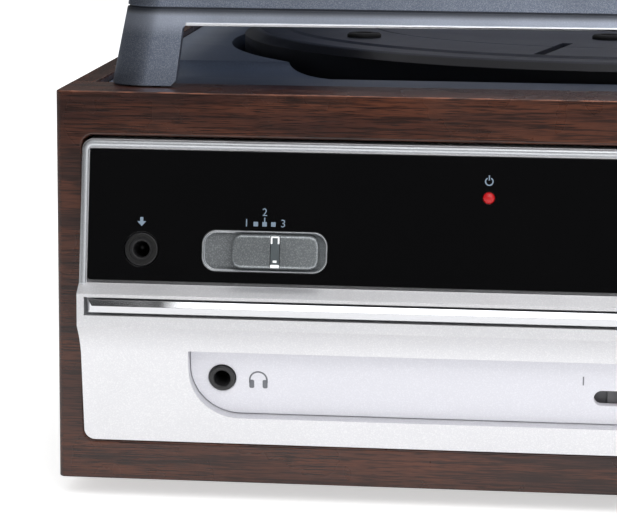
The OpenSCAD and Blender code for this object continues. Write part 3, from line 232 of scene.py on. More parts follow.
def alone(piece):
    """Leaves this piece alone selected and active."""
    deselect()
    piece.select_set(True)
    bpy.context.view_layer.objects.active = piece


def edit(piece, mode="VERT"):
    """Opens a piece in edit mode with nothing selected in it."""
    alone(piece)
    bpy.ops.object.mode_set(mode="EDIT")
    bpy.ops.mesh.select_mode(type=mode)
    bpy.ops.mesh.select_all(action="DESELECT")


def select_all():
    """Selects the whole of the piece that is open in edit mode."""
    bpy.ops.mesh.select_all(action="SELECT")


def extrude(step):
    """Extrudes what is selected by a step in metres."""
    bpy.ops.mesh.extrude_region_move(TRANSFORM_OT_translate={"value": step})


def close():
    """Leaves edit mode."""
    bpy.ops.object.mode_set(mode="OBJECT")


def block(name, low, high):
    """A block between two opposite corners."""
    deselect()
    size = MM * (Vector(high) - Vector(low))
    bpy.ops.mesh.primitive_cube_add(size=1, location=(at(*low) + at(*high)) / 2, scale=size)
    return take(name)


def prism(name, outline, push):
    """A point is extruded along an outline, which is filled and pushed to its full depth."""
    points = [at(*p) for p in outline]
    deselect()
    bpy.ops.mesh.primitive_plane_add(size=MM, location=points[0])
    piece = take(name)
    edit(piece)
    select_all()
    bpy.ops.mesh.merge(type="CENTER")
    for here, there in zip(points, points[1:]):
        extrude(there - here)
    select_all()
    bpy.ops.mesh.edge_face_add()
    extrude(MM * Vector(push))
    select_all()
    bpy.ops.mesh.normals_make_consistent(inside=False)
    close()
    return piece


def turned(name, centre, axis, rings, segments=64):
    """A turned piece: its circle is extruded and scaled through rings of (radius, height).

    A piece whose last ring is its first one again is a tube.
    """
    axis = Vector(axis).normalized()
    turn = axis.to_track_quat("Z", "Y").to_euler()
    radius, height = rings[0]
    middle = Vector(centre) + height * axis
    deselect()
    fill = "NOTHING" if rings[0] == rings[-1] else "NGON"
    bpy.ops.mesh.primitive_circle_add(vertices=segments, radius=radius * MM, fill_type=fill,
                                      location=at(*middle), rotation=turn)
    piece = take(name)
    edit(piece)
    select_all()
    for next_radius, next_height in rings[1:]:
        extrude(MM * (next_height - height) * axis)
        middle = Vector(centre) + next_height * axis
        if next_radius == 0:
            bpy.ops.mesh.merge(type="CENTER")
        else:
            grow = next_radius / radius
            bpy.ops.transform.resize(value=(grow, grow, grow), center_override=at(*middle))
        radius, height = next_radius, next_height
    select_all()
    bpy.ops.mesh.remove_doubles(threshold=0.000001)
    bpy.ops.mesh.normals_make_consistent(inside=False)
    close()
    return piece


def rod(name, start, end, radius, segments=48):
    """A plain round rod between two places, its ends still to be softened."""
    axis = Vector(end) - Vector(start)
    return turned(name, start, axis, [(radius, 0), (radius, axis.length)], segments)


def drill(piece, face, out, holes):
    """Drills round holes through a plate; each is its place along a face and its radius."""
    for (x, up), r in holes:
        middle = face.place(x, out, up)
        carve(piece, rod("hole", middle + 3 * face.out, middle - 4 * face.out, r, 64))


def apply_modifiers(piece):
    alone(piece)
    for modifier in list(piece.modifiers):
        bpy.ops.object.modifier_apply(modifier=modifier.name)


def new_object(name, data):
    """Puts an object of this data into the scene."""
    made = bpy.data.objects.new(name, data)
    bpy.context.scene.collection.objects.link(made)
    return made


def combine(piece, other, operation):
    """Joins, cuts or crosses a piece with another, which is used up."""
    step = piece.modifiers.new("combine", "BOOLEAN")
    step.operation = operation
    step.solver = "EXACT"
    step.object = other
    apply_modifiers(piece)
    bpy.data.objects.remove(other)


def carve(piece, *cutters):
    for cutter in cutters:
        combine(piece, cutter, "DIFFERENCE")


def join(piece, *others):
    for other in others:
        combine(piece, other, "UNION")


def gather(piece, *others):
    """Puts loose pieces of one sub-part into one object."""
    alone(piece)
    for other in others:
        other.select_set(True)
    bpy.ops.object.join()
    return piece


def soften(piece, width, segments=2, angle=28, finish_index=-1):
    """Rounds every edge sharper than an angle; the rounding can take a finish of its own."""
    clean(piece)
    if finish_index > 0:
        piece.data.materials.append(M["satin_silver"])
    step = piece.modifiers.new("soften", "BEVEL")
    step.width = width * MM
    step.segments = segments
    step.limit_method = "ANGLE"
    step.angle_limit = math.radians(angle)
    step.miter_outer = "MITER_ARC"
    step.material = finish_index
    apply_modifiers(piece)
    return piece


def clean(piece):
    """Merges doubled points and dissolves edges that lie in one plane."""
    edit(piece)
    select_all()
    bpy.ops.mesh.remove_doubles(threshold=0.000002)
    bpy.ops.mesh.dissolve_limited(angle_limit=math.radians(0.3))
    close()


def pick_edges(piece, test):
    """Opens a piece and selects the edges whose two ends, in corner millimetres, pass a test."""
    edit(piece, "EDGE")
    mesh = bmesh.from_edit_mesh(piece.data)
    for edge in mesh.edges:
        a, b = ((v.co - CORNER) / MM for v in edge.verts)
        edge.select = bool(test(a, b))
    bmesh.update_edit_mesh(piece.data)


def pick_faces(piece, test):
    """Opens a piece and selects the faces whose centre, in corner millimetres, and normal pass."""
    edit(piece, "FACE")
    mesh = bmesh.from_edit_mesh(piece.data)
    for face in mesh.faces:
        centre = (face.calc_center_median() - CORNER) / MM
        face.select = bool(test(centre, face.normal))
    bmesh.update_edit_mesh(piece.data)


def bevel_picked(width, segments=4):
    bpy.ops.mesh.bevel(offset=width * MM, segments=segments, affect="EDGES")
    close()


def finish(piece, body, slot, material, *stands_for, edges=None, flat=True):
    """Smooths a piece, gives it its materials and lets it ride on its body."""
    alone(piece)
    bpy.ops.object.shade_smooth_by_angle(angle=math.radians(32))
    if flat:
        step = piece.modifiers.new("flat_faces", "WEIGHTED_NORMAL")
        step.keep_sharp = True
        step.weight = 80
        apply_modifiers(piece)
    piece.data.materials[0] = M[material]
    if edges:
        piece.data.materials[1] = M[edges]
    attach(piece, body)
    if stands_for:
        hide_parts(*stands_for)


# Materials

def linear(hex_colour):
    """The shader colour of a hex colour as it is seen on a screen."""
    channels = [int(hex_colour[i:i + 2], 16) / 255 for i in (1, 3, 5)]
    return tuple(c / 12.92 if c <= 0.04045 else ((c + 0.055) / 1.055) ** 2.4
                 for c in channels) + (1.0,)


class Tree:
    """A node tree with short calls to add nodes and links."""

    def __init__(self, tree):
        self.tree = tree

    def add(self, kind, inputs=(), **settings):
        node = self.tree.nodes.new("ShaderNode" + kind)
        for key, value in settings.items():
            setattr(node, key, value)
        for key, value in dict(inputs).items():
            self.put(node.inputs[key], value)
        return node

    def put(self, socket, value):
        """Links a node's output to a socket, or sets a plain value on it."""
        if isinstance(value, bpy.types.NodeSocket):
            self.tree.links.new(value, socket)
        elif isinstance(value, bpy.types.Node):
            self.tree.links.new(value.outputs[0], socket)
        else:
            socket.default_value = value

    def math(self, operation, a, b=0.0, clamp=False):
        node = self.add("Math", operation=operation, use_clamp=clamp)
        self.put(node.inputs[0], a)
        self.put(node.inputs[1], b)
        return node.outputs[0]

    def mix(self, factor, a, b, kind="RGBA"):
        """Mixes two colours, or two plain values where the kind is FLOAT."""
        first, result = {"RGBA": (6, 2), "FLOAT": (2, 0)}[kind]
        node = self.add("Mix", data_type=kind)
        for socket, value in ((0, factor), (first, a), (first + 1, b)):
            self.put(node.inputs[socket], value)
        return node.outputs[result]

    def between(self, value, low, high, to_low=0.0, to_high=1.0):
        """Maps a range of a value smoothly onto another range."""
        node = self.add("MapRange", interpolation_type="SMOOTHSTEP",
                        inputs={"Value": value, "From Min": low, "From Max": high,
                                "To Min": to_low, "To Max": to_high})
        return node.outputs[0]

    def feed(self, **values):
        """Feeds inputs of the material's shader; a _ stands for a space in an input's name."""
        for key, value in values.items():
            self.put(self.tree.nodes["Principled BSDF"].inputs[key.replace("_", " ")], value)

    def place(self, scale=(1, 1, 1)):
        """Object coordinates in millimetres from the frame's origin, stretched by a scale."""
        coordinates = self.add("TexCoord").outputs["Object"]
        return self.add("Mapping", {"Vector": coordinates, "Scale": [1000 * s for s in scale]})

    def axis(self, axis):
        """One of a point's Object coordinates, in metres."""
        coordinates = self.add("TexCoord").outputs["Object"]
        return self.add("SeparateXYZ", {"Vector": coordinates}).outputs[axis]

    def use(self, group, **inputs):
        """Places one of the shared groups."""
        return self.add("Group", inputs, node_tree=GROUPS[group])

    def bump(self, height, strength, distance):
        """Feeds a height to the shader's normal; distance is in millimetres."""
        inputs = {"Height": height, "Strength": strength, "Distance": distance * MM}
        self.feed(Normal=self.add("Bump", inputs))


def new_group(name, inputs, outputs):
    """A shader node group with named sockets: its tree, its given values and its results."""
    group = bpy.data.node_groups.new(name, "ShaderNodeTree")
    for label, kind, value in inputs:
        socket = group.interface.new_socket(label, in_out="INPUT", socket_type="NodeSocket" + kind)
        socket.default_value = value
    for label, kind in outputs:
        group.interface.new_socket(label, in_out="OUTPUT", socket_type="NodeSocket" + kind)
    given, results = (group.nodes.new("NodeGroup" + kind) for kind in ("Input", "Output"))
    return Tree(group), given.outputs, results.inputs


def make_speckle_group():
    """Fine metallic fleck in a moulded or painted surface."""
    tree, given, results = new_group(
        "speckle",
        [("Size", "Float", 0.3), ("Strength", "Float", 0.3),
         ("Colour", "Color", (0.5, 0.5, 0.5, 1)), ("Fleck", "Color", (1, 1, 1, 1))],
        [("Colour", "Color"), ("Fleck", "Float"), ("Height", "Float")])
    spot = {"Vector": tree.place(), "Scale": tree.math("DIVIDE", 1.0, given["Size"])}
    fine = tree.add("TexNoise", {**spot, "Detail": 3.0, "Roughness": 0.7})
    cell = tree.add("SeparateColor", {"Color": tree.add("TexVoronoi", spot).outputs["Color"]})
    spark = tree.between(cell, 0.55, 1.0)
    mask = tree.math("MULTIPLY", spark, given["Strength"], clamp=True)
    tree.put(results["Colour"], tree.mix(mask, given["Colour"], given["Fleck"]))
    tree.put(results["Fleck"], spark)
    tree.put(results["Height"], fine)
    return tree.tree


def make_smudge_group():
    """Slow uneven patches of wear and handling, for roughness and colour."""
    tree, given, results = new_group(
        "smudge", [("Size", "Float", 30.0), ("Low", "Float", 0.3), ("High", "Float", 0.4)],
        [("Value", "Float"), ("Mask", "Float")])
    size = tree.math("DIVIDE", 1.0, given["Size"])
    broad = tree.add("TexNoise", {"Vector": tree.place(), "Scale": size, "Detail": 4.0,
                                  "Roughness": 0.55, "Distortion": 0.4})
    mask = tree.between(broad, 0.35, 0.65)
    span = {"Value": mask, "To Min": given["Low"], "To Max": given["High"]}
    tree.put(results["Value"], tree.add("MapRange", span))
    tree.put(results["Mask"], mask)
    return tree.tree


def make_grain_group():
    """Walnut veneer whose grain runs along X of the vector given."""
    tree, given, results = new_group(
        "walnut_grain", [("Vector", "Vector", (0, 0, 0)), ("Seed", "Float", 0.0)],
        [("Tone", "Float"), ("Streak", "Float"), ("Pore", "Float"), ("Height", "Float")])
    shift = tree.add("CombineXYZ", {"X": given["Seed"], "Y": given["Seed"]})
    place = tree.add("VectorMath", {0: given["Vector"], 1: shift}, operation="ADD")

    def stretched(length, width, **inputs):
        scale = (1 / length, 1 / width, 1 / width)
        mapped = tree.add("Mapping", {"Vector": place, "Scale": scale})
        return tree.add("TexNoise", {"Vector": mapped, "Scale": 1.0, **inputs})

    broad = stretched(70, 7.0, Detail=3.0, Roughness=0.5, Distortion=0.6)
    streak = stretched(14, 0.42, Detail=4.0, Roughness=0.62, Distortion=0.25)
    fine = stretched(7, 0.24, Detail=3.0, Roughness=0.65)
    pore = stretched(6, 0.16, Detail=1.0, Roughness=0.5)
    tree.put(results["Tone"], broad)
    tree.put(results["Streak"], tree.between(streak, 0.46, 0.6))
    tree.put(results["Pore"], tree.between(pore, 0.54, 0.62))
    fine, streak = tree.math("MULTIPLY", fine, 0.6), tree.math("MULTIPLY", streak, 0.4)
    tree.put(results["Height"], tree.math("ADD", fine, streak))
    return tree.tree


GROUPS = {"speckle": make_speckle_group(), "smudge": make_smudge_group(),
          "grain": make_grain_group()}


def new_material(name, **values):
    """A material and its tree, with some inputs of its shader fed."""
    material = bpy.data.materials.new(name)
    material.use_nodes = True
    tree = Tree(material.node_tree)
    tree.feed(**values)
    return material, tree


def reopen(material):
    """A material's tree and the colour that its shader has so far."""
    shader = material.node_tree.nodes["Principled BSDF"]
    return Tree(material.node_tree), shader.inputs["Base Color"].links[0].from_socket


def walnut(name, along, seed):
    """Walnut veneer under a thin satin lacquer, its grain along X or Y."""
    material, tree = new_material(name)
    place = tree.place()
    if along == "Y":
        turn = (0, 0, math.radians(90))
        place = tree.add("Mapping", {"Vector": place, "Rotation": turn})
    grain = tree.use("grain", Vector=place, Seed=seed).outputs
    colour = tree.mix(tree.between(grain["Tone"], 0.3, 0.7), linear("#58301f"), linear("#331c17"))
    for layer, strength, dark in (("Streak", 0.8, "#20100c"), ("Pore", 0.75, "#150a08")):
        colour = tree.mix(tree.math("MULTIPLY", grain[layer], strength), colour, linear(dark))
    tree.feed(Base_Color=colour, Roughness=tree.use("smudge", Size=24.0, Low=0.24, High=0.32))
    tree.bump(grain["Height"], 0.3, 0.1)
    return material


def wear(material, edge_y):
    """Wears veneer to a broken orange line along the upper edge of its front end."""
    tree, colour = reopen(material)
    front_y, top_z = CORNER.y + edge_y * MM, CORNER.z + BODY_H * MM
    front = tree.between(tree.axis("Y"), front_y + 0.5 * MM, front_y + 0.1 * MM)
    top = tree.between(tree.axis("Z"), top_z - 0.4 * MM, top_z - 0.15 * MM)
    patches = tree.add("TexNoise", {"Vector": tree.place((0.2, 1, 1)), "Scale": 1.0, "Detail": 4.0})
    share = tree.between(patches, 0.4, 0.68, 0.08, 0.6)
    worn = tree.math("MULTIPLY", tree.math("MULTIPLY", front, top), share, clamp=True)
    tree.feed(Base_Color=tree.mix(worn, colour, linear("#a86a50")))


def plain_plastic(name, colour, roughness, grain=0.06, metallic=0.0, fleck=None, fleck_size=0.3,
                  strength=0.25):
    """A moulded surface with a fine grain, uneven gloss and, where given, a fleck."""
    material, tree = new_material(name, Metallic=metallic)
    speckle = tree.use("speckle", Size=fleck_size, Strength=strength, Colour=linear(colour),
                       Fleck=linear(fleck or colour))
    smudge = tree.use("smudge", Size=35.0, Low=roughness - 0.03, High=roughness + 0.05)
    tree.feed(Base_Color=speckle, Roughness=smudge)
    tree.bump(speckle.outputs["Height"], 0.3, grain)
    return material


# Colour, roughness, grain and metallic, then the fleck's colour, size and strength
PLASTICS = {
    "satin_silver": ("#dfdfe2", 0.38, 0.02, 0.75, "#ffffff", 0.2, 0.3),
    "bright_silver": ("#d0d3d7", 0.42, 0.01, 1.0, "#f4f6f8", 0.25, 0.2),
    "control_plate": ("#d9d9e0", 0.42, 0.01, 0.0, "#f2f2f8", 0.2, 0.3),
    "switch_silver": ("#8e9396", 0.36, 0.04, 0.8, "#d4dade", 0.16, 0.5),
    "recess_silver": ("#8a8e91", 0.4, 0.05, 0.8, "#ccd2d6", 0.16, 0.5),
    "deck_plastic": ("#566277", 0.45, 0.08, 0.0, "#76839c", 0.16, 0.35),
    "platter_plastic": ("#3c404b", 0.36, 0.04, 0.0, "#5a6070", 0.2, 0.3),
    "lid_plastic": ("#8d97ab", 0.4, 0.03, 1.0, "#eef2fb", 0.1, 0.5),
    # painted highlight: the pale finish of the lid's cut-out lip
    "lid_edge_highlight": ("#eceef3", 0.36, 0.0, 0.75, "#ffffff", 0.15, 0.3),
    "black_plastic": ("#131315", 0.4, 0.05, 0.0, "#25262a", 0.3, 0.4),
    "knob_metal": ("#d3d6da", 0.16, 0.0, 1.0, "#e4e7ea", 0.1, 0.3),
    "grille_plastic": ("#17181b", 0.45, 0.06, 0.0, "#2c2e33", 0.25, 0.4),
    "board_green": ("#245c38", 0.4, 0.05, 0.0, "#6f8f5c", 0.8, 0.4),
    "window_gloss": ("#060607", 0.07, 0.0),
    "chrome_plate": ("#d8d9dc", 0.05, 0.0, 1.0),
    "gloss_black_plastic": ("#0d0d0f", 0.2, 0.02),
    "jack_plastic": ("#232325", 0.35, 0.03),
    "rubber": ("#141414", 0.7, 0.2),
    "plated_steel": ("#b9bbbe", 0.25, 0.02, 1.0),
    "dark_steel": ("#85878b", 0.35, 0.05, 0.9),
    "bearing_brass": ("#b8964e", 0.3, 0.02, 1.0),
    "arm_tube": ("#c2c4c8", 0.2, 0.01, 1.0),
    "red_plastic": ("#a3261a", 0.25, 0.02),
    "red_lamp": ("#9a0c12", 0.35, 0.0),
    "shade_line_grey": ("#9c9ca0", 0.5, 0.0),
    # painted shade line above the control plate's recess
    "grey_print": ("#78899a", 0.5, 0.0),
    "dark_print": ("#6e7076", 0.5, 0.0),
    "clear_bar": ("#71797d", 0.15, 0.0, 0.5),
    # painted highlight: white for the glints in the marker bar's edges
    "clear_bar_glint": ("#f4f6f8", 0.25, 0.0),
    "pointer": ("#5c5c5f", 0.4),
    "capacitor_cream": ("#d2ccb6", 0.45),
    "scale_grey": ("#5c5c5f", 0.45),
    # painted shade: near-black for the shade deep in the jack bores
    "hollow_shade_black": ("#050505", 0.6),
}


def make_materials():
    """Every finish of the object, by name."""
    made = {name: plain_plastic(name, *values) for name, values in PLASTICS.items()}
    light_up(made["red_lamp"])
    paint_lid_shade_and_highlight(made["lid_plastic"])
    paint_platter_side_shade(made["platter_plastic"])
    draw_needle(made["pointer"])
    for name, along, seed in (("walnut_front", "X", 0.0), ("walnut_side", "Y", 31.0),
                              ("walnut_back", "X", 67.0), ("raw_wood", "X", 11.0)):
        made[name] = walnut(name, along, seed)
    wear(made["walnut_front"], 0)
    wear(made["walnut_side"], FRAME_T)
    reopen(made["walnut_side"])[0].feed(Specular_IOR_Level=0.2)
    made["smoked_clear"] = smoked_material()
    return made


def light_up(material):
    """Gives the power lamp's red a weak glow."""
    reopen(material)[0].feed(Emission_Color=linear("#ff1420"), Emission_Strength=0.16)


def paint_lid_shade_and_highlight(material):
    """Paints shade on the lid just under the groove line and a painted highlight on the band below
    that.
    """
    tree, paint = reopen(material)
    height = tree.axis("Z")
    line = CORNER.z + LINE_Z * MM
    under = tree.between(height, line + 0.5 * MM, line + 0.4 * MM)
    # a painted highlight on the band, then painted shade just under the groove line
    for low, high, most, colour in ((6.5, 2.5, 0.62, "#e6eeff"), (1.7, 0.1, 0.8, "#14161b")):
        share = tree.between(height, line - low * MM, line - high * MM, 0.0, most)
        paint = tree.mix(tree.math("MULTIPLY", under, share), paint, linear(colour))
    tree.feed(Base_Color=paint)


def paint_platter_side_shade(material):
    """Paints the platter's side near-black up to its rim, a painted shade of the shadow under the
    rim.
    """
    tree, top = reopen(material)
    rim = CORNER.z + (PLATEAU_Z - 0.75) * MM
    side = tree.between(tree.axis("Z"), rim - 0.4 * MM, rim)
    # painted shade on the side below the rim
    tree.feed(Base_Color=tree.mix(side, linear("#0c0c0e"), top))


def draw_needle(material):
    """Draws the pointer's red needle in the middle of its grey carrier."""
    tree, carrier = reopen(material)
    places = [corner[0] for corner in nodes["tuning_pointer"].bound_box]
    needle = tree.math("COMPARE", tree.axis("X"), (min(places) + max(places)) / 2)
    needle.node.inputs[2].default_value = 0.6 * MM
    tree.feed(Base_Color=tree.mix(needle, carrier, linear("#a3261a")))


def smoked_material():
    """The lid window's smoked plastic, which lets part of the light through to the deck."""
    material, tree = new_material("smoked_clear", Transmission_Weight=1.0, IOR=1.46)
    smudge = tree.use("smudge", Size=60.0, Low=0.08, High=0.14)
    tint = tree.mix(smudge.outputs["Mask"], linear("#8c8c92"), linear("#96969c"))
    shade = tree.math("MULTIPLY", tree.add("LightPath").outputs["Is Shadow Ray"], -0.6)
    tree.feed(Roughness=smudge, Base_Color=tint, Alpha=tree.math("ADD", 1.0, shade))
    return material


# The cabinet

def front_frame():
    """The front board with its wide opening; the veneer wraps its upright edges."""
    piece = block("front_board_frame", (0, 0, 0), (BODY_W, FRAME_T, BODY_H))
    low, high = SILL, BODY_H - RAIL + 0.55
    opening = FRONT.shape((BODY_W / 2, (low + high) / 2), 2, BODY_W - 2 * STILE, high - low,
                          OPENING_R)
    carve(piece, prism("opening", opening, (0, FRAME_T + 4, 0)))
    pick_edges(piece, lambda a, b: max(a.y, b.y) < 0.1 and abs(a.x - b.x) < 0.1
               and (max(a.x, b.x) < 0.1 or min(a.x, b.x) > BODY_W - 0.1))
    bevel_picked(1.3, 6)
    x0, x1, z0, z1 = STILE - 1, BODY_W - STILE + 1, SILL - 1, BODY_H - RAIL + 1.5
    pick_edges(piece, lambda *ends: all(p.y < 0.1 and x0 < p.x < x1 and z0 < p.z < z1
                                        for p in ends))
    bevel_picked(0.6, 4)
    soften(piece, 0.3, 3, 50)
    finish(piece, "cabinet", "wood", "walnut_front", "front_frame")


def side_board(name, x0, node, outer):
    """A side board with its deck rebate and the grille's round hole."""
    x1 = x0 + BOARD_T
    piece = block(name, (x0, FRAME_T, 0), (x1, BODY_D, BODY_H))
    rebate = block("rebate", (LIP, FRAME_T - 1, DECK_Z - DECK_T),
                   (BODY_W - LIP, BODY_D - LIP, BODY_H + 1))
    middle = outer + (3 - GRILLE_DEEP) * (1 if outer else -1)
    carve(piece, rebate)
    for hole, start, end, r in (("speaker_hole", x0 - 2, x1 + 2, SPEAKER_R),
                                ("grille_hole", middle - 3, middle + 3, GRILLE_R)):
        carve(piece, rod(hole, (start, GRILLE_Y, GRILLE_Z), (end, GRILLE_Y, GRILLE_Z), r, 96))
    soften(piece, 0.4, 3, 40)
    finish(piece, "cabinet", "wood", "walnut_side", node)


def deck():
    """The deck plate with its well, its trough and the seats of the controls."""
    piece = block("deck_panel", (LIP + GAP, FRAME_T + GAP, DECK_Z - DECK_T),
                  (BODY_W - LIP - GAP, BODY_D - LIP - GAP, DECK_Z))
    pan = block("trough_pan", (12.3, TROUGH_Y0 - PAN_WALL, DECK_Z - TROUGH_DEEP - PAN_FLOOR),
                (TROUGH_X1 + PAN_WALL, TROUGH_Y1 + 2, DECK_Z - 1))
    rings = [(WELL_R + PAN_WALL, DECK_Z - WELL_DEEP - PAN_FLOOR), (WELL_R + PAN_WALL, DECK_Z - 0.5)]
    bowl = turned("well_bowl", (PLATTER_X, PLATTER_Y, 0), UP, rings, 144)
    join(piece, pan, bowl)
    slope = [(TROUGH_Y1 - 10.4 + 10.4 * math.sin(a), DECK_Z - TROUGH_DEEP * math.cos(a))
             for a in (math.radians(10 * i) for i in range(10))]
    section = ([(TROUGH_Y0, DECK_Z + 2), (TROUGH_Y0, DECK_Z - TROUGH_DEEP)] + slope
               + [(TROUGH_Y1, DECK_Z + 2)])
    trough = prism("trough", [(TROUGH_X0, y, z) for y, z in section], (TROUGH_X1 - TROUGH_X0, 0, 0))
    well = turned("well", (PLATTER_X, PLATTER_Y, 0), UP,
                  [(WELL_R, DECK_Z - WELL_DEEP), (WELL_R, DECK_Z + 2)], 144)
    carve(piece, trough, well)
    for y, travel in ((70, 16), (125, 6)):
        carve(piece, block("slider_slot", (BODY_W - 28.9, y - 2.4, DECK_Z - 5),
                           (BODY_W - 25.1, y + travel + 2.4, DECK_Z + 2)))
    soften(piece, 0.5, 3, 34)
    ears = []
    for x in (BODY_W - 35.2, BODY_W - 27.2):
        ear = block("cue_ear", (x, ARM_Y - 40, DECK_Z - 0.5), (x + 2.4, ARM_Y - 32, DECK_Z + 10))
        ears.append(soften(ear, 0.8, 3))
    a = math.radians(245)
    place = (ARM_X + 40 * math.cos(a), ARM_Y + 40 * math.sin(a), 0)
    guide = turned("lifter_guide", place, UP, [(4.5, DECK_Z - 1), (4.5, DECK_Z + 1.2)])
    gather(piece, soften(guide, 0.3), *ears)
    finish(piece, "cabinet", "deck_plastic", "deck_plastic", "deck_plate")


def platter():
    """The stepped platter with its slot."""
    rings = [(PLATTER_R, DECK_Z - 7.9), (PLATTER_R, DECK_Z + 2.6), (PLATTER_R - 4, PLATEAU_Z - 0.6),
             (PLATTER_R - 11, PLATEAU_Z - 0.6), (PLATTER_R - 11.7, PLATEAU_Z), (66.8, PLATEAU_Z),
             (66.8, PLATEAU_Z - 0.3), (66.2, PLATEAU_Z - 0.3), (66.2, PLATEAU_Z),
             (3.6, PLATEAU_Z), (3.6, PLATEAU_Z - 2)]
    piece = turned("platter_disc", (PLATTER_X, PLATTER_Y, 0), UP, rings, 180)
    middle = Vector((PLATTER_X, PLATTER_Y, PLATEAU_Z))
    ahead = Vector((math.cos(SLOT_ANGLE), math.sin(SLOT_ANGLE), 0))
    across = Vector((-ahead.y, ahead.x, 0))
    far = PLATTER_R - 12.2
    corners = [middle + f * ahead + s * across - Vector((0, 0, 1.5))
               for f, s in ((56, -1.4), (far, -1.4), (far, 1.4), (56, 1.4))]
    carve(piece, prism("slot", corners, (0, 0, 4)))
    soften(piece, 0.4, 3, 25)
    finish(piece, "platter", "platter_plastic", "platter_plastic", "platter")


def pads():
    """The rubber pads that carry a record."""
    made = []
    rings = [(4.4, 0.02), (4.4, 0.7), (4.0, 1.1), (2.2, 1.15), (2.0, 0.9)]
    for angles, far in (((216, 336, 96), 80), ((268, 28, 148), 41)):
        for a in map(math.radians, angles):
            place = (PLATTER_X + far * math.cos(a), PLATTER_Y + far * math.sin(a), PLATEAU_Z)
            made.append(turned("pad", place, UP, rings, 40))
    piece = gather(*made)
    piece.name = "record_pads"
    finish(piece, "platter", "soft_rubber", "rubber", "platter_pads")


# The front panel

def front_panel():
    """The silver moulding: window slope, nose, hollow curve and lower face, with its openings."""
    start, turn, end = (Vector((-NOSE_OUT, NOSE_Z0)), Vector((-LOW_TOP_OUT - 1.1, COVE_Z + 3.4)),
                        Vector((-LOW_TOP_OUT, COVE_Z)))
    cove = [tuple((1 - t) ** 2 * start + 2 * t * (1 - t) * turn + t ** 2 * end)
            for t in STEPS]
    section = [(PANEL_BACK, PANEL_Z1), (0, PANEL_Z1), (-WINDOW_TOP_OUT, WINDOW_Z1),
               (-WINDOW_OUT, WINDOW_Z0), (-WINDOW_OUT - 0.3, WINDOW_Z0 - 0.4),
               (-NOSE_OUT, NOSE_Z1)] + cove + [(-LOW_OUT, PANEL_Z0), (PANEL_BACK, PANEL_Z0)]
    piece = prism("panel_moulding", [(PANEL_X0, y, z) for y, z in section],
                  (PANEL_X1 - PANEL_X0, 0, 0))
    outline = FRONT.shape((BODY_W / 2, (PANEL_Z0 + PANEL_Z1) / 2), 14, PANEL_X1 - PANEL_X0,
                          PANEL_Z1 - PANEL_Z0, PANEL_R)
    combine(piece, prism("corners", outline, (0, 34, 0)), "INTERSECT")
    x0, x1 = WINDOW_X0, BODY_W - WINDOW_X0
    recess = [WINDOW.place(x, 4, up)
              for x, up in ((x0, -0.25), (x1, -0.25), (x1, WINDOW_H), (x0, WINDOW_H))]
    carve(piece, prism("window_recess", recess, -(4 + WINDOW_T + 0.1) * WINDOW.out))
    low, high = STRIP_Z - STRIP_H / 2 - 0.75, STRIP_Z + STRIP_H / 2 + 0.55
    carve(piece, block("strip_groove", (PANEL_X0 + 1.6, -NOSE_OUT - 1, low),
                       (PANEL_X1 - 1.6, -NOSE_OUT + 4.4, high)))
    pocket = [LOWER.place(x, 5, up) for x, up in plate_outline(0.1)]
    carve(piece, prism("plate_recess", pocket, -(5 + PLATE_DEEP + PLATE_T) * LOWER.out))
    for face, out, (x, up), r in ((WINDOW, 0, AUX, 3.8), (WINDOW, 0, VOLUME, 5),
                                  (WINDOW, 0, POWER, 5), (LOWER, -1, PHONES, 3.2),
                                  (LOWER, -1, TUNING, 5)):
        place = face.place(x, out, up)
        carve(piece, rod("way_through", place, place - 24 * face.out, r, 64))
    row_z = PANEL_Z0 + ROW_Z
    for name, x0, x1, half in (("scale_opening", SCALE_X0 - 2, SCALE_X1 + 2, 3.4),
                               ("band_opening", BAND_X - 7, BAND_X + 7, 3)):
        carve(piece, block(name, (x0, -2, row_z - half), (x1, 20, row_z + half)))
    soften(piece, 0.5, 4, 24)
    finish(piece, "cabinet", "panel_silver", "satin_silver", "front_panel")


def window_bead():
    """The bright bead that frames the window on three sides."""
    top = (PANEL_Z1 - WINDOW_Z0) / math.cos(TILT) - 0.1
    r = PANEL_R
    x0, x1 = PANEL_X0, PANEL_X1
    inner = 2 * BEAD_R
    outer = ([(x0, -1)] + arc(x0 + r, top - r, r, 180, 90, 10)
             + arc(x1 - r, top - r, r, 90, 0, 10) + [(x1, -1)])
    inside = ([(x1 - inner, -1)] + arc(x1 - r, top - r, r - inner, 0, 90, 10)
              + arc(x0 + r, top - r, r - inner, 90, 180, 10) + [(x0 + inner, -1)])
    outline = [WINDOW.place(x, 0.6, up) for x, up in outer + inside]
    piece = prism("window_bead", outline, -1.6 * WINDOW.out)
    soften(piece, 0.77, 10, 40)
    finish(piece, "cabinet", "panel_silver", "bright_silver", flat=False)


def display_window():
    """The glossy black window with its openings."""
    inset = 0.12
    w = BODY_W - 2 * (WINDOW_X0 + inset)
    h = WINDOW_H - 2 * inset - 0.3
    outline = WINDOW.shape((BODY_W / 2, WINDOW_H / 2 + 0.15), 0, w, h, 0.7, 5)
    piece = prism("black_window", outline, -WINDOW_T * WINDOW.out)
    drill(piece, WINDOW, 0, ((AUX, 3.9), (LED, 1.35), (POWER, 4.8), (VOLUME, 3.4)))
    carve(piece, prism("switch_hole", WINDOW.shape(SWITCH, 3, 27.9, 9.2, 3.2), -8 * WINDOW.out))
    soften(piece, 0.15, 2, 35)
    finish(piece, "cabinet", "window_black", "window_gloss", "display_window")


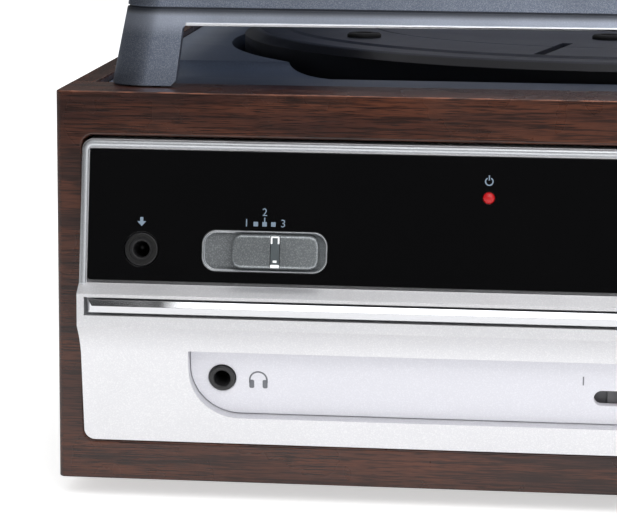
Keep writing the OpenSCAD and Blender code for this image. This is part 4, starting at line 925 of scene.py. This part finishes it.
def chrome_strip():
    """Two long facets that meet in a ridge, with mitred ends."""
    x0, x1 = PANEL_X0 + 2.5, PANEL_X1 - 2.5
    low = -NOSE_OUT + 0.4
    foot = -NOSE_OUT + 2.4
    ridge = -NOSE_OUT - 0.4
    bottom, top = -STRIP_H / 2 - 0.15, STRIP_H / 2
    section = [(foot, bottom), (low, bottom), (ridge, 0.1), (low, top), (foot, top)]
    piece = prism("chrome_bar", [(x0, y, STRIP_Z + z) for y, z in section], (x1 - x0, 0, 0))
    edit(piece)
    for x, side in ((x0, -1), (x1, 1)):
        select_all()
        bpy.ops.mesh.bisect(plane_co=at(x, low, STRIP_Z), plane_no=(0.8 * side, -1.6, 0),
                            clear_outer=True, use_fill=True)
    close()
    soften(piece, 0.08, 2, 12)
    finish(piece, "cabinet", "chrome", "chrome_plate", "chrome_strip")


def plate_outline(grow):
    """The control plate's outline along the lower face: square above and round below."""
    x0, x1 = PLATE_SIDE - grow, BODY_W - PLATE_SIDE + grow
    z0, z1 = PLATE_Z0 - grow, PLATE_Z0 + PLATE_H + grow
    r = PLATE_R + grow
    return ([(x0, z1)] + arc(x0 + r, z0 + r, r, 180, 270, 16)
            + arc(x1 - r, z0 + r, r, 270, 360, 16) + [(x1, z1)])


def control_plate():
    """The inset plate with the row of controls."""
    outline = [LOWER.place(x, -PLATE_DEEP, up) for x, up in plate_outline(0)]
    piece = prism("control_row_plate", outline, -PLATE_T * LOWER.out)
    drill(piece, LOWER, -PLATE_DEEP, ((PHONES, 3.1), (TUNING, 3.4)))
    scale = ((SCALE_X0 + SCALE_X1) / 2, ROW_Z - 0.5)
    for slot in (LOWER.shape(scale, -1, SCALE_X1 - SCALE_X0, SCALE_H, SCALE_H / 2 - 0.01),
                 LOWER.shape((BAND_X, ROW_Z), -1, 11, 3.8, 0.3)):
        carve(piece, prism("slot", slot, -8 * LOWER.out))
    soften(piece, 0.2, 3, 30)
    finish(piece, "cabinet", "plate_white", "control_plate", "control_plate")


def scale_face():
    """The grey face behind the scale's slot, on which the pointer's carrier runs."""
    middle = ((SCALE_X0 + SCALE_X1) / 2, ROW_Z)
    out = -(PLATE_DEEP + PLATE_T + 1.15)
    outline = LOWER.shape(middle, out, SCALE_X1 - SCALE_X0 + 3, 6.6, 0.3, 2)
    finish(prism("scale_face", outline, -0.25 * LOWER.out), "cabinet", "scale_grey", "scale_grey")


def jacks():
    """The two plug sockets: a turned collar and a contact in a deep bore."""
    spring = [(0.7, -9), (0.7, -8.2), (0.4, -7.9), (0, -7.8)]
    for name, face, out, (x, up), rings in (
            ("aux_jack_collar", WINDOW, 0, AUX,
             [(3.75, -4), (3.75, -0.3), (3.45, 0.0), (3.2, -0.45), (3.05, -0.6), (2.0, -0.6),
              (1.7, -1.3), (1.7, -13), (3.0, -13), (3.0, -4), (3.75, -4)]),
            ("phones_jack_collar", LOWER, -PLATE_DEEP, PHONES,
             [(2.95, -3), (2.95, 0.5), (2.75, 0.7), (1.95, 0.6), (1.7, -0.1), (1.7, -12),
              (2.95, -12), (2.95, -3)])):
        place = face.place(x, out, up)
        collar = soften(turned(name, place, face.out, rings), 0.12, 2, 30)
        finish(collar, "cabinet", "jack_black", "jack_plastic")
        contact = turned("contact_spring", place, face.out, spring, 24)
        contact.data.transform(Matrix.Translation(MM * Vector((-1.1, 0, 0.4))))
        finish(contact, "cabinet", "socket_metal", "plated_steel")


def switch():
    """The function switch: its recess and its bevelled knob with a clear marker bar, whose glints
    are painted on in white.
    """
    out = WINDOW.out
    grip = (KNOB_X, SWITCH[1])
    rim = WINDOW.shape(SWITCH, 0.12, 27.7, 9.0, 3.1)
    bezel = prism("switch_recess", rim, -(WINDOW_T + 1) * out)
    carve(bezel, prism("hollow", WINDOW.shape(SWITCH, 1, 27.0, 8.3, 2.75), -2.4 * out))
    soften(bezel, 0.14, 3, 30, finish_index=1)
    finish(bezel, "cabinet", "silver_knob", "recess_silver", "switch_bezel", edges="bright_silver")
    knob = prism("function_slider", WINDOW.shape(grip, -1.0, 19.3, 7.5, 1.9, 2), 2.9 * out)
    pick_edges(knob, lambda *ends: all(abs(front_distance(p) - 1.9) < 0.05 for p in ends))
    bevel_picked(0.75, 2)
    carve(knob, prism("marker_groove", WINDOW.shape(grip, 3, 2.2, 7.9, 0.1, 2), -2.1 * out))
    soften(knob, 0.12, 2, 40)
    finish(knob, "function_knob", "silver_knob", "switch_silver", "function_knob")
    clear = prism("marker_bar", WINDOW.shape(grip, 0.95, 2.0, 7.2, 0.2, 2), 0.8 * out)
    finish(soften(clear, 0.15, 2, 30), "function_knob", "silver_knob", "clear_bar")
    # painted highlight: white pieces for the light caught in the clear bar's edges
    bright = []
    for x, up, w, h in ((-0.78, 2.55, 0.4, 1.6), (0.78, 2.55, 0.4, 1.6), (0, 3.25, 1.9, 0.35),
                        (0, -3.15, 2.0, 0.7), (0, -2.1, 0.9, 0.5)):
        edge = WINDOW.shape((KNOB_X + x, SWITCH[1] + up), 1.7, w, h, 0.1, 2)
        bright.append(prism("marker_glint", edge, 0.12 * out))
    bright = soften(gather(*bright), 0.05, 2, 30)
    finish(bright, "function_knob", "silver_knob", "clear_bar_glint")


def front_distance(p):
    """How far a place in corner millimetres stands out of the window."""
    return (p - WINDOW.place(0, 0, 0)).dot(WINDOW.out)


def power_lamp():
    """The domed lamp in its hole in the window."""
    out = WINDOW.out
    rings = [(1.25, -6), (1.25, 0.1), (1.15, 0.35), (0.85, 0.6), (0.45, 0.75), (0, 0.8)]
    piece = turned("power_lamp", WINDOW.place(LED[0], 0, LED[1]), out, rings, 40)
    finish(piece, "cabinet", "lamp_red", "red_lamp", "power_led")


# Printed marks, and a line of painted shade

RIGHT = Vector((1, 0, 0))
PRINT_T = 0.03
EM_OF_DIGIT = 1.37
HEADPHONES = (45.4, 14.5)
DOTS_R = 13.2


def printed(name, face, x, out, up, outline, slot, material):
    """A thin printed shape on a face; its outline is drawn to the right of and above a place."""
    points = [face.place(x, out, up) + right * RIGHT + rise * face.up for right, rise in outline]
    finish(prism(name, points, PRINT_T * face.out), "cabinet", slot, material)


def numeral(name, text, face, x, out, up, height, slot, material):
    """A plain printed number."""
    deselect()
    bpy.ops.object.text_add()
    piece = bpy.context.object
    piece.data.body = text
    piece.data.align_x = "CENTER"
    piece.data.align_y = "CENTER"
    em = height * EM_OF_DIGIT
    piece.data.extrude = PRINT_T / 2 / em
    bpy.ops.object.convert(target="MESH")
    turn = Matrix((RIGHT, face.up, face.out)).transposed().to_4x4()
    place = Matrix.Translation(at(*face.place(x, out, up)))
    piece.matrix_world = place @ turn @ Matrix.Scale(em * MM, 4)
    take(name)
    finish(piece, "cabinet", slot, material)


def ring_outline(r, width, start, end, steps=24):
    return arc(0, 0, r, start, end, steps) + arc(0, 0, r - width, end, start, steps)


def bar(w, h):
    """The outline of a bar about its middle."""
    return [(-w / 2, -h / 2), (w / 2, -h / 2), (w / 2, h / 2), (-w / 2, h / 2)]


def window_marks():
    """The numbers, the arrow, the power sign and the dots on the window."""
    ink = ("window_black", "grey_print")
    arrow = [(0, -0.9), (1.0, 0.2), (0.35, 0.2), (0.35, 1.1), (-0.35, 1.1), (-0.35, 0.2),
             (-1.0, 0.2)]
    signs = [("position_square", x, 13.55, bar(1, 1)) for x in (45.05, 47.0, 48.95)]
    signs += [("position_stem", 47.0, 14.5, bar(0.26, 1)), ("input_arrow", AUX[0], 13.4, arrow),
              ("power_ring", LED[0], LED[1] + 3.6, ring_outline(0.95, 0.28, 120, 420)),
              ("power_bar", LED[0], LED[1] + 4.4, bar(0.28, 1.1))]
    for i in range(11):
        a = math.radians(240 - 30 * i)
        x, up = VOLUME[0] + DOTS_R * math.cos(a), VOLUME[1] + DOTS_R * math.sin(a)
        if 1.2 < up < WINDOW_H - 1.2:
            signs.append(("volume_dot", x, up, arc(0, 0, 0.4, 0, 330, 11)))
    for name, x, up, outline in signs:
        printed(name, WINDOW, x, PRINT_T / 2, up, outline, *ink)
    for text, x, up in (("1", 43.0, 13.7), ("2", 47.0, 16.1), ("3", 51.1, 13.7)):
        numeral("position_number", text, WINDOW, x, PRINT_T / 2, up, 1.75, *ink)


def plate_marks():
    """The painted shade line above the plate, the headphone sign and the scale's ticks and numbers.
    """
    out = PRINT_T / 2 - PLATE_DEEP
    ink = ("plate_white", "dark_print")
    half = BODY_W / 2 - PLATE_SIDE - 0.3
    line = [(-half, 0), (half, 0), (half, 0.27), (-half, 0.27)]
    # painted shade: a grey line on the lower face just above the plate's recess
    printed("plate_shade_line", LOWER, BODY_W / 2, 0.02, PLATE_Z0 + PLATE_H + 0.3, line, ink[0],
            "shade_line_grey")
    x, up = HEADPHONES
    signs = [("headphone_band", x, up, ring_outline(2.1, 0.36, 0, 180))]
    for side in (-1, 1):
        cup = [(side * (px - 0.25), pz) for px, pz in rounded(1.1, 2.0, 0.35, 4)]
        signs += [("headphone_band_end", x + side * 1.92, up - 0.35, bar(0.36, 0.8)),
                  ("headphone_cup", x + side * 1.75, up - 1.0, cup if side > 0 else cup[::-1])]
    numbers = [("band_number", "1", SCALE_X0 - 2.4, ROW_Z + 3.45, 2.2),
               ("band_number", "2", SCALE_X1 + 2.4, ROW_Z + 3.45, 2.2)]
    for i in range(11):
        x = SCALE_X0 + 6 + 13 * i
        signs.append(("scale_tick", x, ROW_Z + 2.6, bar(0.24, 1)))
        numbers.append(("scale_number", str(88 + 2 * i), x, ROW_Z + 4.3, 1.5))
    for name, x, up, outline in signs:
        printed(name, LOWER, x, out, up, outline, *ink)
    for name, text, x, up, height in numbers:
        numeral(name, text, LOWER, x, out, up, height, *ink)


# The lid

def lid_inset(z):
    """How far the lid's leaning walls have come in at a height."""
    return (z - LID_Z0) * math.tan(LID_LEAN)


def arch(t):
    """How far a cut-out's top edge has risen at a part of its length."""
    return ARCH_H * (1 - (2 * t - 1) ** 2) ** 1.5


def lid_shell():
    """The lid's walls and rounded top, drawn upwards from its foot and given their thickness."""
    wide, deep = BODY_W - 2 * LID_IN, BODY_D - 2 * LID_FRONT
    middle = (BODY_W / 2, BODY_D / 2)
    shoulder = LID_Z1 - LID_ROUND
    line_top = LINE_Z + LINE_H
    piece = block("lid_shell", (middle[0] - wide / 2, middle[1] - deep / 2, LID_Z0 - 0.001),
                  (middle[0] + wide / 2, middle[1] + deep / 2, LID_Z0))
    pick_edges(piece, lambda a, b: abs(a.z - b.z) > 0.0005)
    bevel_picked(LID_R, 10)
    levels = [(LID_Z0, 0), (LINE_Z, lid_inset(LINE_Z)), (LINE_Z, lid_inset(LINE_Z) + 0.45),
              (line_top, lid_inset(LINE_Z) + 0.5), (line_top, lid_inset(LINE_Z) + 0.1),
              (shoulder, lid_inset(shoulder))]
    for i in range(1, 7):
        a = math.radians(15 * i)
        levels.append((shoulder + LID_ROUND * math.sin(a),
                       lid_inset(shoulder) + LID_ROUND * (1 - math.cos(a))))
    pick_faces(piece, lambda c, n: n.z > 0.9)
    before_z, before = levels[0]
    for z, step in levels[1:]:
        extrude((0, 0, (z - before_z) * MM))
        grow = ((wide - 2 * step) / (wide - 2 * before), (deep - 2 * step) / (deep - 2 * before), 1)
        bpy.ops.transform.resize(value=grow, center_override=at(middle[0], middle[1], z))
        before_z, before = z, step
    close()
    pick_faces(piece, lambda c, n: n.z < -0.9 and c.z < LID_Z0 + 0.1)
    bpy.ops.mesh.delete(type="FACE")
    close()
    wall = piece.modifiers.new("wall", "SOLIDIFY")
    wall.thickness = LID_T * MM
    wall.offset = -1
    wall.use_even_offset = True
    apply_modifiers(piece)
    return piece


def lid_frame():
    """The lid: leaning walls with a groove line, a rounded top, four cut-outs and hinge lugs."""
    piece = lid_shell()
    across = cutout(LID_IN + LEG_W, BODY_W - LID_IN - LEG_W)
    carve(piece, prism("cutout", [(x, -20, z) for x, z in across], (0, BODY_D + 40, 0)))
    along = cutout(LID_FRONT + LEG_W, BODY_D - LID_FRONT - LEG_W)
    carve(piece, prism("cutout", [(-20, y, z) for y, z in along], (BODY_W + 40, 0, 0)))
    for name, rim, low in (("top_hole", WINDOW_IN, LID_Z1 - LID_T - 2),
                           ("window_seat", WINDOW_IN - 4, LID_Z1 - 2.1)):
        carve(piece, block(name, (rim, rim, low), (BODY_W - rim, BODY_D - rim, LID_Z1 + 2)))
    soften(piece, 0.4, 3, 40)
    lugs = []
    for x in (HINGE_X, BODY_W - HINGE_X):
        x0, x1 = x - LUG_HALF, x + LUG_HALF
        lugs.append(block("hinge_lug", (x0, BODY_D - LID_IN - 5, HINGE_Z - LUG_R),
                          (x1, HINGE_Y, HINGE_Z + LUG_R)))
        lugs.append(rod("hinge_barrel", (x0, HINGE_Y, HINGE_Z), (x1, HINGE_Y, HINGE_Z), LUG_R, 40))
    gather(piece, *[soften(lug, 0.3) for lug in lugs])
    finish(piece, "lid", "lid_plastic", "lid_plastic", "lid_frame")


def lid_highlight_lip():
    """A rolled lip along the top of the lid's front cut-out; its pale finish is a painted highlight
    of the rounded edge.
    """
    end = LID_IN + LEG_W + 1.8
    lower, upper = [], []
    for t in STEPS:
        x = end + (BODY_W - 2 * end) * t
        z = LEG_TOP + arch(t)
        lower.append((x, z - 0.05))
        upper.append((x, z + 0.75))
    outline = [(x, LID_FRONT - 0.35 + lid_inset(z), z) for x, z in lower + upper[::-1]]
    piece = soften(prism("lid_highlight_lip", outline, (0, 1.2, 0)), 0.35, 5, 40)
    # the lip's pale finish is a painted highlight
    finish(piece, "lid", "lid_plastic", "lid_edge_highlight")


def cutout(start, end):
    """The outline of a cut-out: chamfered feet, leaning ends, rounded corners and an arched top."""
    r = 1.1
    foot = 1.2
    left, right = start + LEG_LEAN, end - LEG_LEAN
    span = right - left - 2 * r
    top = LEG_TOP + 0.1
    middle = [(left + r + span * t, top + arch(t)) for t in STEPS]
    return ([(end + foot, LID_Z0 - 3), (start - foot, LID_Z0 - 3), (start - foot, LID_Z0),
             (start, LID_Z0 + foot)]
            + arc(left + r, top - r, r, 180, 92, 7) + middle + arc(right - r, top - r, r, 88, 0, 7)
            + [(end, LID_Z0 + foot), (end + foot, LID_Z0)])


# Plain nodes and their finishes

FINISHES = {
    "walnut_back": (0.4, ["back_board", "bottom_board"]),
    "knob_metal": (0.14, ["volume_knob", "tuning_knob"]),
    "switch_silver": (0.25, ["speed_selector", "autostop_switch", "cue_lever", "power_button",
                             "band_knob"]),
    "black_plastic": (0.35, ["tonearm_base", "tonearm_rest", "arm_lifter", "headshell",
                             "lid_hinge_brackets", "rear_plate"]),
    "gloss_black_plastic": (0.3, ["tonearm_yoke", "cartridge", "mains_inlet"]),
    "grille_plastic": (0.3, ["speaker_grilles"]),
    "dark_steel": (0.6, ["counterweight"]),
    "arm_tube": (0.4, ["tonearm_tube"]),
    "plated_steel": (0.12, ["arm_clip", "output_sockets", "screws", "lid_hinge_pins"]),
    "red_plastic": (0.12, ["stylus"]),
    "pointer": (0.12, ["tuning_pointer"]),
    "rubber": (0.5, ["feet"]),
    "smoked_clear": (0.4, ["lid_window"]),
}
PAINTED = {
    "scale_grey": ["scale_backing"],
    # painted shade: the CAD jack bodies near-black so their bores look deep in shade
    "hollow_shade_black": ["aux_jack", "headphone_jack"],
    "raw_wood": ["glue_blocks"],
    "rubber": ["drive_belt", "lid_bumpers"],
    "plated_steel": ["spindle"],
    "bearing_brass": ["spindle_bearing", "motor_pulley"],
    "dark_steel": ["motor", "transformer", "volume_pot", "slide_switches"],
    "black_plastic": ["speakers"],
    "capacitor_cream": ["tuning_capacitor"],
    "board_green": ["front_board", "main_board"],
}


def paint_nodes():
    """Gives the CAD nodes that stay as they are their finishes."""
    for material, names in PAINTED.items():
        for name in names:
            for slot in nodes[name].material_slots:
                slot.material = M[material]


def rounded_nodes():
    """Copies of CAD solids whose shape is right, with their edges rounded."""
    record = frame["record"]
    bodies = {n: body for body, names in record["behaviour"]["bodies"].items() for n in names}
    slots = {part["node"]: part["material_slot"] for part in record["subparts"]}
    for material, (width, names) in FINISHES.items():
        for name in names:
            piece = new_object(name + "_rounded", nodes[name].data.copy())
            piece.data.materials.clear()
            piece.data.materials.append(M[material])
            alone(piece)
            bpy.ops.mesh.customdata_custom_splitnormals_clear()
            piece.data.polygons.foreach_set("material_index", [0] * len(piece.data.polygons))
            soften(piece, width, 2, 30)
            finish(piece, bodies[name], slots[name], material, name)


# The stage

def stage():
    """A pale floor, a white background and a dim studio for what shines."""
    deselect()
    bpy.ops.mesh.primitive_plane_add(size=1.8, location=(0.15, 0.43, 0))
    floor = bpy.context.object
    floor.name = "floor"
    material, tree = new_material("floor_white", Roughness=0.7, Base_Color=(0.92, 0.92, 0.92, 1),
                                  Specular_IOR_Level=0.1, Emission_Color=(1, 1, 1, 1))
    seen = tree.math("MULTIPLY", tree.add("LightPath").outputs["Is Camera Ray"], 0.25)
    tree.feed(Emission_Strength=tree.math("ADD", seen, 0.3))
    floor.data.materials.append(material)
    world = bpy.data.worlds.new("studio")
    bpy.context.scene.world = world
    world.use_nodes = True
    tree = Tree(world.node_tree)
    back = world.node_tree.nodes["Background"].inputs
    back["Color"].default_value = (1, 1, 1, 1)
    rays = tree.add("LightPath").outputs
    seen = tree.math("MAXIMUM", rays["Is Camera Ray"], rays["Is Transmission Ray"])
    way = tree.add("SeparateXYZ", {"Vector": tree.add("TexCoord").outputs["Generated"]}).outputs
    height = tree.math("MULTIPLY", way["Z"], 0.94)
    for axis, share in (("Y", 0.34), ("X", 0.3)):
        height = tree.math("ADD", height, tree.math("MULTIPLY", way[axis], share))
    shine = tree.between(height, 0.4, 0.95, 0.05, 0.6)
    unseen = tree.mix(rays["Is Glossy Ray"], 0.62, shine, "FLOAT")
    tree.put(back["Strength"], tree.mix(seen, unseen, 1.0, "FLOAT"))


def lamp(name, place, target, size, power):
    """A soft area lamp aimed at a target; places are in metres."""
    light = bpy.data.lights.new(name, "AREA")
    light.shape = "RECTANGLE"
    light.size, light.size_y = size
    light.energy = power
    holder = new_object(name, light)
    holder.location = place
    holder.rotation_euler = (Vector(target) - Vector(place)).to_track_quat("-Z", "Y").to_euler()


def lamps():
    """A soft box high in front, a lower one on its right, one overhead and a strip light behind."""
    lamp("key", (0.16, -0.75, 0.7), (0.16, -0.1, 0.05), (0.88, 0.5), 3.8)
    lamp("side", (0.62, -0.85, 0.3), (0.0, -0.1, 0.08), (0.5, 0.4), 1.3)
    lamp("top", (0.32, 0.12, 1.0), (0.3, 0.0, 0.1), (0.9, 0.6), 4.0)
    lamp("rim", (0.1, 1.0, 0.6), (0, 0, 0.1), (0.9, 0.25), 0.3)


def camera():
    """The photograph's view, worked out from the cabinet's edges and the platter's rings."""
    yaw, pitch, roll = 0.09826, 0.17917, 0.00825
    focal, photo_width = 2500, 617
    ahead = Vector((-math.sin(yaw) * math.cos(pitch), math.cos(yaw) * math.cos(pitch),
                    -math.sin(pitch)))
    level = Vector((math.cos(yaw), math.sin(yaw), 0))
    upright = level.cross(ahead)
    right = math.cos(roll) * level + math.sin(roll) * upright
    up = math.cos(roll) * upright - math.sin(roll) * level
    data = bpy.data.cameras.new("camera")
    data.sensor_width = 36
    data.lens = focal / photo_width * data.sensor_width
    data.clip_start = 0.01
    holder = new_object("camera", data)
    turn = Matrix((right, up, -ahead)).transposed()
    holder.matrix_world = Matrix.Translation(at(109.84, -541.55, 148.81)) @ turn.to_4x4()
    bpy.context.scene.camera = holder


M = make_materials()
camera()
stage()
lamps()
paint_nodes()
front_frame()
side_board("left_board", 0, "left_side_board", 0)
side_board("right_board", BODY_W - BOARD_T, "right_side_board", BODY_W)
deck()
platter()
pads()
front_panel()
window_bead()
display_window()
chrome_strip()
control_plate()
scale_face()
jacks()
switch()
power_lamp()
window_marks()
plate_marks()
lid_frame()
lid_highlight_lip()
rounded_nodes()

bpy.context.scene.view_settings.view_transform = "Standard"
